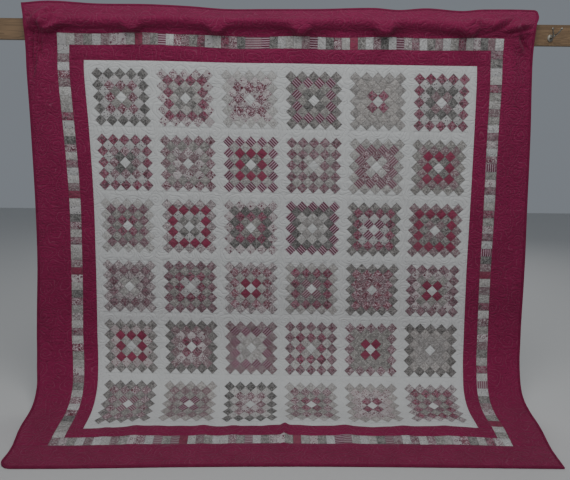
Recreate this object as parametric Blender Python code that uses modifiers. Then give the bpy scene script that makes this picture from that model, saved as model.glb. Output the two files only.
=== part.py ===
"""Patchwork quilt hung from a rail of forked coat hooks, its foot curving out to lie flat.

The quilt's panels and binding are cut flat, given their thickness flat, and then draped: each
point of the flat cut is carried onto one hanging surface. X runs across the quilt, +Y points
back through the rail and Z is up. The origin is the middle of the rail's back face.
"""

from math import pi, radians, sin

import bmesh
import bpy
import numpy as np
from mathutils import Matrix, Vector

# ---- The quilt as it was cut, in metres ----
BLOCKS = 6                # blocks across and down
PITCH_ACROSS = 0.275      # from one block to the next, across
PITCH_DOWN = 0.2794       # and down, a little more because the quilt hangs on its length
FIELD_MARGIN = 0.55       # from the outer blocks' centres to the field's edge, in pitches
INNER_BORDER = 0.061
PIECED_BORDER = 0.050
OUTER_BORDER = 0.155
CLOTH = 0.005             # top, wadding and backing quilted together
BINDING_WIDTH = 0.010     # how far the binding reaches in over the cloth
BINDING_CLOTH = 0.0009
FOLD_ROUNDING = 0.7       # the flat part of its fold, as a share of the cloth it wraps
BINDING_GAP = 0.0005      # between the binding and the cloth that it wraps
MITRE_GAP = 0.0003        # each binding ends this far short of its corner's diagonal
SEAM_GAP = 0.0006         # between two panels

# ---- The rail and its hooks ----
RAIL_LENGTH = 2.54
RAIL_WIDTH = 0.089
RAIL_THICKNESS = 0.019
RAIL_EDGE = 0.002
RAIL_HEIGHT = 1.648       # from the level that the hem lies on to the middle of the rail
HOOKS = 7
HOOK_PITCH = 0.356
LAST_HOOK = 1.147         # the bare hook at the right
PLATE_RADIUS = 0.0125
PLATE_FACE_RADIUS = 0.0106
PLATE_THICKNESS = 0.003
PLATE_DROP = 0.012        # the plate's centre below the rail's middle
STEM_RADIUS = 0.0042
FORK_RADIUS = 0.0054
PRONG_RADIUS = 0.0034
BEND_REACH = 0.039        # where the stem begins to rise, in front of the rail's back face
FORK_REACH = 0.054        # where it forks
FORK_RISE = 0.004
PRONG_START = 0.0013      # each prong starts this far to its side
PRONG_REACH = 0.073       # and bends up here
KNOB_RADIUS = 0.006
KNOB_SPREAD = 0.019       # each knob to its side of the hook's middle
KNOB_REACH = 0.0873       # the knobs' centres in front of the rail's back face
KNOB_RISE = 0.0175        # and above the rail's middle
ROOT_GAP = 0.0003         # between a plate and the rail

# ---- How the quilt hangs ----
# Seen from the side: at each length down the cloth, how far it leans out from straight down.
SIDE_PROFILE = (
    # down, lean in degrees
    (0.000, 47.0),        # the top edge, just in front of the rail
    (0.085, 44.0),        # out over the hooks
    (0.130, -15.0),       # in again under them
    (0.200, -18.0),
    (0.290, -2.0),
    (0.400, -0.2),        # the hanging part
    (1.200, -1.6),
    (1.300, -2.4),
    (1.400, 0.3),         # the long bend to the foot
    (1.540, 15.5),
    (1.680, 42.7),
    (1.820, 75.7),
    (1.900, 80.5),        # the slope down to the hem
    (2.060, 82.0),
    (2.150, 90.0),        # the hem's border, lying flat
    (2.300, 90.0),
)
HEM_REACH = 0.660         # the hem in front of the rail's back face

# Seen from the front: where the side edges hang, and the seams inside the outer border.
SIDE_LINES = (
    # down, left edge, left seam, right seam, right edge
    (0.000, -1.118, -0.955, 0.936, 1.081),
    (0.110, -1.093, -0.953, 0.935, 1.062),
    (0.300, -1.093, -0.962, 0.943, 1.064),
    (0.550, -1.090, -0.953, 0.949, 1.078),
    (0.880, -1.089, -0.948, 0.946, 1.090),
    (1.150, -1.096, -0.949, 0.947, 1.101),
    (1.460, -1.117, -0.950, 0.953, 1.106),
    (1.620, -1.109, -0.938, 0.943, 1.094),
    (1.740, -1.086, -0.925, 0.929, 1.081),
    (1.850, -1.070, -0.917, 0.923, 1.079),
    (1.970, -1.063, -0.918, 0.929, 1.079),
    (2.100, -1.042, -0.909, 0.924, 1.068),
    (2.236, -1.040, -0.903, 0.921, 1.060),
)

# The uneven top edge: how much it rises above its mean height, across the quilt.
TOP_EDGE = (
    # across, rise
    (-1.105, 0.006),
    (-0.980, 0.013),
    (-0.790, 0.004),
    (-0.580, 0.004),
    (-0.400, -0.002),
    (-0.240, -0.012),
    (-0.060, -0.010),
    (0.160, -0.007),
    (0.390, 0.000),
    (0.500, -0.007),
    (0.620, 0.001),
    (0.770, -0.008),
    (0.860, -0.001),
    (1.105, 0.001),
)

# The foot: how far forward of its mean the hem lies, and how far below its mean the slope
# above it, across the quilt.
FOOT_LINE = (
    # across, forward, lower
    (-1.105, 0.052, 0.012),
    (-0.800, 0.044, 0.010),
    (-0.400, 0.026, 0.004),
    (0.000, 0.014, 0.000),
    (0.400, 0.010, 0.000),
    (1.105, 0.010, 0.002),
)

# The upright folds at the two ends of the top.
END_FOLDS = (
    # across, forward
    (-1.050, 0.010),
    (0.985, 0.012),
)

ROW_TILT = -0.0075        # how much higher the rows hang at the right edge than in the middle
HOOK_SAG = 0.008          # the cloth falls back by this much between two hooks
END_FALL = 0.022          # and by this much past the last of them
END_FOLD_WIDTH = 0.040
RIPPLE = 0.004            # soft ripples of the hanging part
RIPPLE_LENGTH = 0.47
RIPPLE_PHASE = 1.2        # in radians, at the quilt's middle
RIPPLE_SLANT = 1.6        # radians more for each metre down
FOOT_RIPPLE = 0.004       # and of the slope at the foot
FOOT_RIPPLE_LENGTH = 0.58
FOOT_RIPPLE_PHASE = 0.7
BLUNT_CORNER = 0.022      # the lower left corner is pushed in by this much
BLUNT_WIDTH = 0.045

# How far down the cloth each of these starts and is complete.
EDGE_EVENS_OUT = (0.00, 0.10)
TILT_GROWS = (0.13, 0.40)
TILT_FADES = (0.40, 1.85)
RIPPLES_GROW = (0.28, 0.60)
RIPPLES_FADE = (1.30, 1.75)
FOOT_MOVES = (1.70, 2.15)
END_FALLS = (1.010, 1.105)        # across, from the quilt's middle

# How far down the middle of each of these lies, and its width.
OVER_HOOKS = (0.11, 0.055)
END_FALL_PLACE = (0.12, 0.12)
END_FOLD_PLACE = (0.27, 0.16)
FOOT_RIPPLE_PLACE = (1.93, 0.09)
SLOPE_PLACE = (1.91, 0.11)

# ---- How finely the cloth is divided ----
MERGE = 0.00001
NEAR = 0.0015             # how far away the surface's direction is measured
ACROSS_STEPS = (
    # across to, step
    (0.950, 0.072),
    (1.200, 0.037),
)
DOWN_STEPS = (
    # down to, step
    (0.085, 0.028),
    (0.140, 0.014),
    (0.300, 0.032),
    (1.300, 0.105),
    (1.900, 0.050),
    (2.300, 0.060),
)

# ---- Sizes that follow ----
HALF_FIELD = PITCH_ACROSS * ((BLOCKS - 1) / 2 + FIELD_MARGIN)
FIELD_LENGTH = PITCH_DOWN * (BLOCKS - 1 + 2 * FIELD_MARGIN)
BORDERS = (
    # name, distance from the quilt's edge to its outer and inner sides, colour
    ("outer_border", 0.0, OUTER_BORDER, "crimson"),
    ("pieced_border", OUTER_BORDER, OUTER_BORDER + PIECED_BORDER, "scraps"),
    ("inner_border", OUTER_BORDER + PIECED_BORDER,
     OUTER_BORDER + PIECED_BORDER + INNER_BORDER, "crimson"),
)
ALL_BORDERS = BORDERS[-1][2]
HALF_WIDTH = HALF_FIELD + ALL_BORDERS
LENGTH = FIELD_LENGTH + 2 * ALL_BORDERS
SEAM_LINE = HALF_WIDTH - OUTER_BORDER
BINDING_INSIDE = CLOTH / 2 + BINDING_GAP
BINDING_OUTSIDE = BINDING_INSIDE + BINDING_CLOTH
HOOK_PLACES = [LAST_HOOK - HOOK_PITCH * (HOOKS - 1 - number) for number in range(HOOKS)]

SHARP_ANGLE = radians(40.0)       # a steeper edge than this is drawn sharp

# ---- Finishes: colour, roughness, metallic ----
FINISHES = {
    "white": ((0.44, 0.47, 0.48), 0.90, 0.0),
    "crimson": ((0.155, 0.012, 0.045), 0.88, 0.0),
    "scraps": ((0.26, 0.20, 0.20), 0.90, 0.0),
    "binding": ((0.120, 0.010, 0.035), 0.88, 0.0),
    "pine": ((0.42, 0.27, 0.13), 0.55, 0.0),
    "metal": ((0.62, 0.61, 0.57), 0.35, 1.0),
}


# ---- The draped surface ----
def side_profile():
    """The cloth's reach in front of the rail's back and its height, every millimetre down."""
    down = np.arange(0.0, LENGTH + 0.02, 0.001)
    lean = np.radians(np.interp(down, *np.transpose(SIDE_PROFILE)))
    middle = (lean[1:] + lean[:-1]) / 2
    reach = np.concatenate([[0.0], np.cumsum(np.sin(middle))]) * 0.001
    drop = np.concatenate([[0.0], np.cumsum(np.cos(middle))]) * 0.001
    hem = np.searchsorted(down, LENGTH)
    return down, HEM_REACH + reach - reach[hem], BINDING_OUTSIDE - RAIL_HEIGHT + drop[hem] - drop


PROFILE_DOWN, PROFILE_REACH, PROFILE_HEIGHT = side_profile()


def smooth_table(table, at, column=1):
    """A table's column at a place, along a smooth curve through its rows."""
    places = [row[0] for row in table]
    at = min(max(at, places[0]), places[-1])
    row = min(int(np.searchsorted(places, at, side="right")), len(table) - 1)
    value = [table[k][column] for k in range(len(table))]
    start, end = places[row - 1], places[row]
    run = end - start
    before, after = max(row - 2, 0), min(row + 1, len(table) - 1)
    slope_in = (value[row] - value[before]) / (places[row] - places[before])
    slope_out = (value[after] - value[row - 1]) / (places[after] - places[row - 1])
    t = (at - start) / run
    return (
        value[row - 1] * (1 + 2 * t) * (1 - t) ** 2
        + slope_in * run * t * (1 - t) ** 2
        + value[row] * (3 - 2 * t) * t ** 2
        + slope_out * run * t ** 2 * (t - 1)
    )


def step(at, start, end):
    """0 before start, 1 after end and an even curve between."""
    t = min(max((at - start) / (end - start), 0.0), 1.0)
    return t * t * (3 - 2 * t)


def hump(at, middle, width):
    """1 at the middle, fading to nothing about two widths away."""
    return float(np.exp(-(((at - middle) / width) ** 2)))


def middle_surface(across, down):
    """The middle of the cloth's thickness, for a place on the flat quilt."""
    lines = [smooth_table(SIDE_LINES, down, column) for column in (1, 2, 3, 4)]
    x = float(np.interp(across, (-HALF_WIDTH, -SEAM_LINE, SEAM_LINE, HALF_WIDTH), lines))

    # Below the hooks, a row that hangs higher takes its length from the foot.
    tilt = ROW_TILT * across / HALF_WIDTH * step(down, *TILT_GROWS)
    taken_up = step(down, *TILT_FADES)
    along = down - tilt * taken_up
    reach = float(np.interp(along, PROFILE_DOWN, PROFILE_REACH))
    z = float(np.interp(along, PROFILE_DOWN, PROFILE_HEIGHT)) + tilt * (1 - taken_up)
    z += smooth_table(TOP_EDGE, across) * (1 - step(down, *EDGE_EVENS_OUT))

    # Over the hooks, between them and past the ends of the row.
    between_hooks = sin(pi * (x - LAST_HOOK) / HOOK_PITCH) ** 2
    reach -= HOOK_SAG * hump(down, *OVER_HOOKS) * between_hooks
    reach -= END_FALL * hump(down, *END_FALL_PLACE) * step(abs(across), *END_FALLS)
    for place, forward in END_FOLDS:
        reach += forward * hump(down, *END_FOLD_PLACE) * hump(across, place, END_FOLD_WIDTH)

    # Ripples of the hanging part and of the slope at the foot.
    hanging = step(down, *RIPPLES_GROW) * (1 - step(down, *RIPPLES_FADE))
    turn = 2 * pi * across / RIPPLE_LENGTH + RIPPLE_PHASE + RIPPLE_SLANT * down
    reach += RIPPLE * hanging * sin(turn)
    turn = 2 * pi * across / FOOT_RIPPLE_LENGTH + FOOT_RIPPLE_PHASE
    z += FOOT_RIPPLE * hump(down, *FOOT_RIPPLE_PLACE) * (1 + sin(turn))

    # The line of the hem, and its blunted corner at the left.
    reach += smooth_table(FOOT_LINE, across, 1) * step(down, *FOOT_MOVES)
    z -= smooth_table(FOOT_LINE, across, 2) * hump(down, *SLOPE_PLACE)
    corner = hump(across, -HALF_WIDTH, BLUNT_WIDTH) * hump(down, LENGTH, BLUNT_WIDTH)
    x += BLUNT_CORNER * corner
    reach -= BLUNT_CORNER * corner
    return Vector((x, -reach, z))


def drape(across, down, front):
    """A point of the flat quilt, front being its height above the middle of the cloth."""
    a = min(max(across, -HALF_WIDTH + NEAR), HALF_WIDTH - NEAR)
    d = min(max(down, NEAR), LENGTH - NEAR)
    along_x = (middle_surface(a + NEAR, d) - middle_surface(a - NEAR, d)).normalized()
    along_down = (middle_surface(a, d + NEAR) - middle_surface(a, d - NEAR)).normalized()
    normal = along_down.cross(along_x).normalized()
    inside_across = min(max(across, -HALF_WIDTH), HALF_WIDTH)
    inside_down = min(max(down, 0.0), LENGTH)
    past_edges = along_x * (across - inside_across) + along_down * (down - inside_down)
    return middle_surface(inside_across, inside_down) + past_edges + normal * front


def cuts(low, high, marks, step_at):
    """The places between low and high where the cloth is divided, every mark among them."""
    stops = sorted({low, high, *[m for m in marks if low < m < high]})
    places = [low]
    for start, end in zip(stops, stops[1:]):
        count = max(1, round((end - start) / step_at((start + end) / 2)))
        places += [start + (end - start) * k / count for k in range(1, count + 1)]
    return places


def step_from(table):
    """How long a division is at a place, from a table of steps."""
    return lambda place: next(length for end, length in table if abs(place) <= end)


EDGE_MARKS = [BINDING_WIDTH, *[border[2] for border in BORDERS]]
ACROSS_CUTS = cuts(
    -HALF_WIDTH, HALF_WIDTH,
    [side * (HALF_WIDTH - mark) for mark in EDGE_MARKS for side in (-1, 1)],
    step_from(ACROSS_STEPS),
)
DOWN_CUTS = cuts(
    0.0, LENGTH,
    [*EDGE_MARKS, *[LENGTH - mark for mark in EDGE_MARKS], *[row[0] for row in DOWN_STEPS]],
    step_from(DOWN_STEPS),
)


# ---- Making objects ----
def new_scene():
    """Empty the scene and add the collection that holds the quilt."""
    for old in list(bpy.data.objects):
        bpy.data.objects.remove(old, do_unlink=True)
    collection = bpy.data.collections.new("patchwork_quilt")
    bpy.context.scene.collection.children.link(collection)
    return collection


def finish_material(name, finish):
    """A node's own Principled material."""
    colour, roughness, metallic = FINISHES[finish]
    material = bpy.data.materials.new(name)
    material.use_nodes = True
    shader = material.node_tree.nodes["Principled BSDF"]
    shader.inputs["Base Color"].default_value = (*colour, 1.0)
    shader.inputs["Roughness"].default_value = roughness
    shader.inputs["Metallic"].default_value = metallic
    material.diffuse_color = (*colour, 1.0)
    return material


def add_object(collection, name, mesh, finish):
    """Put a mesh in the scene with a material of its own."""
    thing = bpy.data.objects.new(name, mesh)
    thing.data.materials.append(finish_material(name, finish))
    collection.objects.link(thing)
    return thing


def mesh_from(bm, name):
    """Close off a bmesh into a mesh with its faces pointing out."""
    bmesh.ops.recalc_face_normals(bm, faces=bm.faces)
    if bm.calc_volume(signed=True) < 0:
        bmesh.ops.reverse_faces(bm, faces=bm.faces)
    mesh = bpy.data.meshes.new(name)
    bm.to_mesh(mesh)
    bm.free()
    mesh.shade_smooth()
    mesh.set_sharp_from_angle(angle=SHARP_ANGLE)
    return mesh


# ---- The panels ----
def panel(collection, name, low, high, finish):
    """One panel of the quilt, cut between two corners of the flat quilt and draped."""
    across_cuts = [a for a in ACROSS_CUTS if low[0] < a < high[0]]
    down_cuts = [d for d in DOWN_CUTS if low[1] < d < high[1]]
    across_cuts = [low[0], *across_cuts, high[0]]
    down_cuts = [low[1], *down_cuts, high[1]]
    columns, rows = len(across_cuts), len(down_cuts)

    bm = bmesh.new()
    bmesh.ops.create_grid(bm, x_segments=columns - 1, y_segments=rows - 1, size=0.5)
    for vertex in bm.verts:
        column = round((vertex.co.x + 0.5) * (columns - 1))
        row = round((0.5 - vertex.co.y) * (rows - 1))
        vertex.co = Vector((across_cuts[column], down_cuts[row], CLOTH / 2))
    back = bmesh.ops.extrude_face_region(bm, geom=bm.faces[:], use_keep_orig=True)
    for element in back["geom"]:
        if isinstance(element, bmesh.types.BMVert):
            element.co.z = -CLOTH / 2
    for vertex in bm.verts:
        vertex.co = drape(*vertex.co)
    return add_object(collection, name, mesh_from(bm, name), finish)


def borders(collection):
    """The three borders, each of two full-width strips and two side strips between them."""
    half_gap = SEAM_GAP / 2
    for name, outer, inner, finish in BORDERS:
        gap_out = half_gap if outer else 0.0
        left, right = -HALF_WIDTH + outer + gap_out, HALF_WIDTH - outer - gap_out
        top, bottom = outer + gap_out, LENGTH - outer - gap_out
        strips = (
            # name, low corner, high corner
            ("top", (left, top), (right, inner - half_gap)),
            ("bottom", (left, LENGTH - inner + half_gap), (right, bottom)),
            ("left", (left, inner + half_gap),
             (-HALF_WIDTH + inner - half_gap, LENGTH - inner - half_gap)),
            ("right", (HALF_WIDTH - inner + half_gap, inner + half_gap),
             (right, LENGTH - inner - half_gap)),
        )
        for side, low, high in strips:
            panel(collection, f"{name}_{side}", low, high, finish)


def centre_field(collection):
    """The field of blocks inside the borders."""
    edge = ALL_BORDERS + SEAM_GAP / 2
    panel(
        collection, "centre_field",
        (-HALF_WIDTH + edge, edge), (HALF_WIDTH - edge, LENGTH - edge), "white",
    )


# ---- The binding ----
def binding_section():
    """The binding's folded section: how far in from the edge, and how high, for each point."""
    fold = -BINDING_GAP - BINDING_CLOTH
    half_fold = BINDING_INSIDE * FOLD_ROUNDING
    return (
        # in from the edge, front
        (BINDING_WIDTH, BINDING_OUTSIDE),
        (-BINDING_GAP, BINDING_OUTSIDE),
        (fold, half_fold),
        (fold, -half_fold),
        (-BINDING_GAP, -BINDING_OUTSIDE),
        (BINDING_WIDTH, -BINDING_OUTSIDE),
        (BINDING_WIDTH, -BINDING_INSIDE),
        (-BINDING_GAP, -BINDING_INSIDE),
        (-BINDING_GAP, BINDING_INSIDE),
        (BINDING_WIDTH, BINDING_INSIDE),
    )


def binding_strip(collection, side, along_cuts, place):
    """One side's binding, mitred at both ends; place turns (along, in) into (across, down)."""
    section = binding_section()
    first, last = along_cuts[0], along_cuts[-1]
    bm = bmesh.new()
    rings = []
    for number, along in enumerate(along_cuts):
        ring = []
        for inward, front in section:
            at = along
            if number == 0:
                at = first + inward + MITRE_GAP
            elif number == 1:
                at = along + MITRE_GAP
            elif number == len(along_cuts) - 2:
                at = along - MITRE_GAP
            elif number == len(along_cuts) - 1:
                at = last - inward - MITRE_GAP
            ring.append(bm.verts.new(drape(*place(at, inward), front)))
        rings.append(ring)
    for ring, following in zip(rings, rings[1:]):
        for k in range(len(section)):
            after = (k + 1) % len(section)
            bm.faces.new((ring[k], ring[after], following[after], following[k]))
    for ring in (rings[0], rings[-1]):
        front_lip, nose, back_lip = (9, 0, 1, 8), (8, 1, 2, 3, 4, 7), (7, 4, 5, 6)
        for corners in (front_lip, nose, back_lip):
            bm.faces.new([ring[k] for k in corners])
    bmesh.ops.remove_doubles(bm, verts=bm.verts, dist=MERGE)
    bmesh.ops.dissolve_degenerate(bm, edges=bm.edges, dist=MERGE)
    add_object(collection, f"binding_{side}", mesh_from(bm, f"binding_{side}"), "binding")


def binding(collection):
    """The binding round the quilt's four edges."""
    sides = (
        # side, cuts along it, how (along, in) lies on the flat quilt
        ("top", ACROSS_CUTS, lambda along, inward: (along, inward)),
        ("bottom", ACROSS_CUTS, lambda along, inward: (along, LENGTH - inward)),
        ("left", DOWN_CUTS, lambda along, inward: (-HALF_WIDTH + inward, along)),
        ("right", DOWN_CUTS, lambda along, inward: (HALF_WIDTH - inward, along)),
    )
    for side, along_cuts, place in sides:
        binding_strip(collection, side, along_cuts, place)


# ---- The rail and the hooks ----
def rail(collection):
    """The board that the hooks are screwed to, its back face at the origin."""
    bm = bmesh.new()
    bmesh.ops.create_cube(bm, size=1.0)
    bmesh.ops.scale(bm, vec=(RAIL_LENGTH, RAIL_THICKNESS, RAIL_WIDTH), verts=bm.verts)
    bmesh.ops.translate(bm, vec=(0.0, -RAIL_THICKNESS / 2, 0.0), verts=bm.verts)
    board = add_object(collection, "rail", mesh_from(bm, "rail"), "pine")
    eased = board.modifiers.new("eased edges", "BEVEL")
    eased.width = RAIL_EDGE
    eased.segments = 2
    eased.limit_method = "ANGLE"
    return board


def tube_mesh(name, points, radius):
    """A closed tube along a few points, made a mesh with its caps welded."""
    curve = bpy.data.curves.new(name, "CURVE")
    curve.dimensions = "3D"
    curve.bevel_depth = radius
    curve.bevel_resolution = 1
    curve.use_fill_caps = True
    spline = curve.splines.new("POLY")
    spline.points.add(len(points) - 1)
    for spot, place in zip(spline.points, points):
        spot.co = (*place, 1.0)
    guide = bpy.data.objects.new(name, curve)
    bpy.context.scene.collection.objects.link(guide)
    evaluated = guide.evaluated_get(bpy.context.evaluated_depsgraph_get())
    mesh = bpy.data.meshes.new_from_object(evaluated)
    bpy.data.objects.remove(guide, do_unlink=True)
    bm = bmesh.new()
    bm.from_mesh(mesh)
    bmesh.ops.remove_doubles(bm, verts=bm.verts, dist=MERGE)
    bm.to_mesh(mesh)
    bm.free()
    mesh.shade_smooth()
    mesh.set_sharp_from_angle(angle=SHARP_ANGLE)
    return mesh


def ball_mesh(name, place, radius):
    """A ball as a closed mesh."""
    bm = bmesh.new()
    bmesh.ops.create_uvsphere(bm, u_segments=10, v_segments=6, radius=radius)
    bmesh.ops.translate(bm, verts=bm.verts, vec=place)
    return mesh_from(bm, name)


def hook_pieces():
    """The plate, stem, two prongs and two knobs of one hook, as separate closed meshes."""
    front = -RAIL_THICKNESS - ROOT_GAP
    plate = bmesh.new()
    bmesh.ops.create_cone(
        plate, cap_ends=True, segments=16, depth=PLATE_THICKNESS,
        radius1=PLATE_RADIUS, radius2=PLATE_FACE_RADIUS,
    )
    bmesh.ops.rotate(plate, verts=plate.verts, matrix=Matrix.Rotation(radians(90.0), 3, "X"))
    bmesh.ops.translate(
        plate, verts=plate.verts, vec=(0.0, front - PLATE_THICKNESS / 2, -PLATE_DROP)
    )
    pieces = [mesh_from(plate, "plate")]

    root = (0.0, front - PLATE_THICKNESS / 2, -PLATE_DROP)
    bend = (0.0, -BEND_REACH, -PLATE_DROP)
    fork = (0.0, -FORK_REACH, FORK_RISE - PLATE_DROP)
    pieces.append(tube_mesh("stem", (root, bend, fork), STEM_RADIUS))
    pieces.append(ball_mesh("fork", fork, FORK_RADIUS))
    for side in (-1, 1):
        start = (side * PRONG_START, -FORK_REACH, FORK_RISE - PLATE_DROP)
        spread = (side * KNOB_SPREAD / 2, -PRONG_REACH, 0.0)
        knob = (side * KNOB_SPREAD, -KNOB_REACH, KNOB_RISE)
        pieces.append(tube_mesh("prong", (start, spread, knob), PRONG_RADIUS))
        pieces.append(ball_mesh("knob", knob, KNOB_RADIUS))
    return pieces


def hooks(collection, cutters):
    """One hook of joined pieces, and a copy of it at each place along the rail."""
    pieces = hook_pieces()
    for number, x in enumerate(HOOK_PLACES, start=1):
        body = add_object(collection, f"hook_{number}", pieces[0].copy(), "metal")
        body.location.x = x
        for piece in pieces[1:]:
            tool = bpy.data.objects.new(f"join_{number}", piece)
            tool.location.x = x
            tool.hide_render = True
            tool.display_type = "WIRE"
            cutters.objects.link(tool)
            union = body.modifiers.new(piece.name, "BOOLEAN")
            union.operation = "UNION"
            union.object = tool


def main():
    """Build the quilt, its binding, the rail and the hooks."""
    collection = new_scene()
    cutters = bpy.data.collections.new("joined_shapes")
    bpy.context.scene.collection.children.link(cutters)
    centre_field(collection)
    borders(collection)
    binding(collection)
    rail(collection)
    hooks(collection, cutters)


main()
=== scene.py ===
"""Patchwork quilt on a hook rail: the dressed model, in the frame of its solids."""

from math import cos, pi, radians, sin

import bpy
import numpy as np
from mathutils import Matrix, Vector


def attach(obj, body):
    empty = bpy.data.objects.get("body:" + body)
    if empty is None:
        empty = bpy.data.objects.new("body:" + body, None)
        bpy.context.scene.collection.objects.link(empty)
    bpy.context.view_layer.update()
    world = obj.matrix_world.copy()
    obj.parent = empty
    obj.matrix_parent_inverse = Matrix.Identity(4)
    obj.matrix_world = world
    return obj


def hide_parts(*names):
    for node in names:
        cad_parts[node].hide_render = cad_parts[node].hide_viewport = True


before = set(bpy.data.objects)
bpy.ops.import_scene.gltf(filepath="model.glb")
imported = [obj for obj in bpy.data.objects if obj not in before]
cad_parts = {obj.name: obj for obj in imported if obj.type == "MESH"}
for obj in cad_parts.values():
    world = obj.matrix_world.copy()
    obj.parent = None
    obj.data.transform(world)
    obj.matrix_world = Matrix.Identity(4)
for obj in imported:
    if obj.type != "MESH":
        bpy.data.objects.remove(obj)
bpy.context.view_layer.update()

bl_info = {
    "name": "Patchwork quilt",
    "version": (1, 0, 0),
    "blender": (4, 5, 0),
    "location": "3D View > Sidebar > Quilt",
    "description": "A pieced quilt hung from a rail of forked hooks",
    "category": "Object",
}

# ---- The quilt as it was cut, in metres ----
BLOCKS = 6
PITCH_ACROSS = 0.275
PITCH_DOWN = 0.2794
FIELD_MARGIN = 0.55
INNER_BORDER = 0.061
PIECED_BORDER = 0.050
OUTER_BORDER = 0.155
CLOTH = 0.005
BINDING_WIDTH = 0.010
BINDING_CLOTH = 0.0009
BINDING_GAP = 0.0005
MITRE_GAP = 0.0003
DOUBLES = 0.00001         # how near two points are that are merged

HALF_DIAGONAL = 0.088     # of a patch, in pitches: five patches and a gap make a pitch
PATCH_CELLS = 10          # half diagonals across a block
FINE = 4                  # divisions of each half diagonal
GAP_CELLS = 4             # divisions of the white between two blocks
HALF_FIELD = PITCH_ACROSS * ((BLOCKS - 1) / 2 + FIELD_MARGIN)
FIELD_LENGTH = PITCH_DOWN * (BLOCKS - 1 + 2 * FIELD_MARGIN)
ALL_BORDERS = INNER_BORDER + PIECED_BORDER + OUTER_BORDER
HALF_WIDTH = HALF_FIELD + ALL_BORDERS
LENGTH = FIELD_LENGTH + 2 * ALL_BORDERS
SEAM_LINE = HALF_WIDTH - OUTER_BORDER
BINDING_OUTSIDE = CLOTH / 2 + BINDING_GAP + BINDING_CLOTH
BINDING_ACROSS = (-HALF_WIDTH + BINDING_WIDTH, HALF_WIDTH - BINDING_WIDTH)
BINDING_DOWN = (BINDING_WIDTH, LENGTH - BINDING_WIDTH)
RINGS = 4                 # of patches in a block, round its white middle
SLANT = 0.7071            # how much of a slanted stripe's way is across, or down
FAR_FROM_SEAMS = 0.05     # given to the plain back
ON_EDGE = 1e-6            # nearer the edge than this is on it
FLAT_MAP = "flat_cloth"   # the map from the cloth to the flat quilt

# ---- The rail and its hooks ----
RAIL_HEIGHT = 1.648
HOOKS = 7
HOOK_PITCH = 0.356
LAST_HOOK = 1.147
RAIL_THICKNESS = 0.019
ROOT_GAP = 0.0003
PLATE_RADIUS = 0.0125
PLATE_OVAL = 1.22
PLATE_THICKNESS = 0.003
PLATE_DROP = 0.012
SCREW_RADIUS = 0.0021
SCREW_PLACE = 0.0108      # each screw above or below the plate's middle
KNOB_RADIUS = 0.0050
KNOB_SPREAD = 0.019
KNOB_REACH = 0.0873
KNOB_RISE = 0.0175

# ---- How the quilt hangs, from the same tables as its solids ----
SIDE_PROFILE = (
    # down, lean in degrees
    (0.000, 47.0), (0.085, 44.0), (0.130, -15.0), (0.200, -18.0),
    (0.290, -2.0), (0.400, -0.2), (1.200, -1.6), (1.300, -2.4),
    (1.400, 0.3), (1.540, 15.5), (1.680, 42.7), (1.820, 75.7),
    (1.900, 80.5), (2.060, 82.0), (2.150, 90.0), (2.300, 90.0),
)
HEM_REACH = 0.660
SIDE_LINES = (
    # down, left edge, left seam, right seam, right edge
    (0.000, -1.118, -0.955, 0.936, 1.081),
    (0.110, -1.093, -0.953, 0.935, 1.062),
    (0.300, -1.093, -0.962, 0.943, 1.064),
    (0.550, -1.090, -0.953, 0.949, 1.078),
    (0.880, -1.089, -0.948, 0.946, 1.090),
    (1.150, -1.096, -0.949, 0.947, 1.101),
    (1.460, -1.117, -0.950, 0.953, 1.106),
    (1.620, -1.109, -0.938, 0.943, 1.094),
    (1.740, -1.086, -0.925, 0.929, 1.081),
    (1.850, -1.070, -0.917, 0.923, 1.079),
    (1.970, -1.063, -0.918, 0.929, 1.079),
    (2.100, -1.042, -0.909, 0.924, 1.068),
    (2.236, -1.040, -0.903, 0.921, 1.060),
)
TOP_EDGE = (
    # across, rise
    (-1.105, 0.006), (-0.980, 0.013), (-0.790, 0.004), (-0.580, 0.004),
    (-0.400, -0.002), (-0.240, -0.012), (-0.060, -0.010), (0.160, -0.007),
    (0.390, 0.000), (0.500, -0.007), (0.620, 0.001), (0.770, -0.008),
    (0.860, -0.001), (1.105, 0.001),
)
FOOT_LINE = (
    # across, forward, lower
    (-1.105, 0.052, 0.012),
    (-0.800, 0.044, 0.010),
    (-0.400, 0.026, 0.004),
    (0.000, 0.014, 0.000),
    (0.400, 0.010, 0.000),
    (1.105, 0.010, 0.002),
)
END_FOLDS = (
    # across, forward
    (-1.050, 0.010),
    (0.985, 0.012),
)
ROW_TILT = -0.0075        # how much lower a row hangs at the right than in its middle
HOOK_SAG = 0.008          # how far the cloth sags back between two hooks
END_FALL = 0.022          # how far it falls back past the ends of the row
END_FOLD_WIDTH = 0.040
RIPPLE = (0.004, 0.47, 1.2, 1.6)          # rise, length, start, slant
FOOT_RIPPLE = (0.004, 0.58, 0.7)          # rise, length, start
BLUNT_CORNERS = (
    # which side, how far down, radius
    (-1, LENGTH, 0.060),
    (1, 0.0, 0.018),
)
RIGHT_BULGE = (0.050, 0.035, 0.010)       # of the right edge: down, width, sideways
EDGE_BAND = 0.10          # how far in the edge's own shape reaches

# How far down each form starts and is whole, or how far down it is and how wide.
EDGE_EVENS_OUT = (0.00, 0.10)
TILT_GROWS = (0.13, 0.40)
TILT_FADES = (0.40, 1.85)
RIPPLES_GROW = (0.28, 0.60)
RIPPLES_FADE = (1.30, 1.75)
FOOT_MOVES = (1.70, 2.15)
END_FALLS = (1.010, 1.105)                # this one across
OVER_HOOKS = (0.11, 0.055)
HOOK_PLACE = 0.108        # how far down the quilt lies on a hook
END_FALL_PLACE = (0.12, 0.12)
END_FOLD_PLACE = (0.27, 0.16)
FOOT_RIPPLE_PLACE = (1.93, 0.09)
SLOPE_PLACE = (1.91, 0.11)
NEAR = 0.0015             # how far apart two places are that give a slope
TABLE_STEP = 0.001        # from one row to the next of the side profile's table

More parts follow.
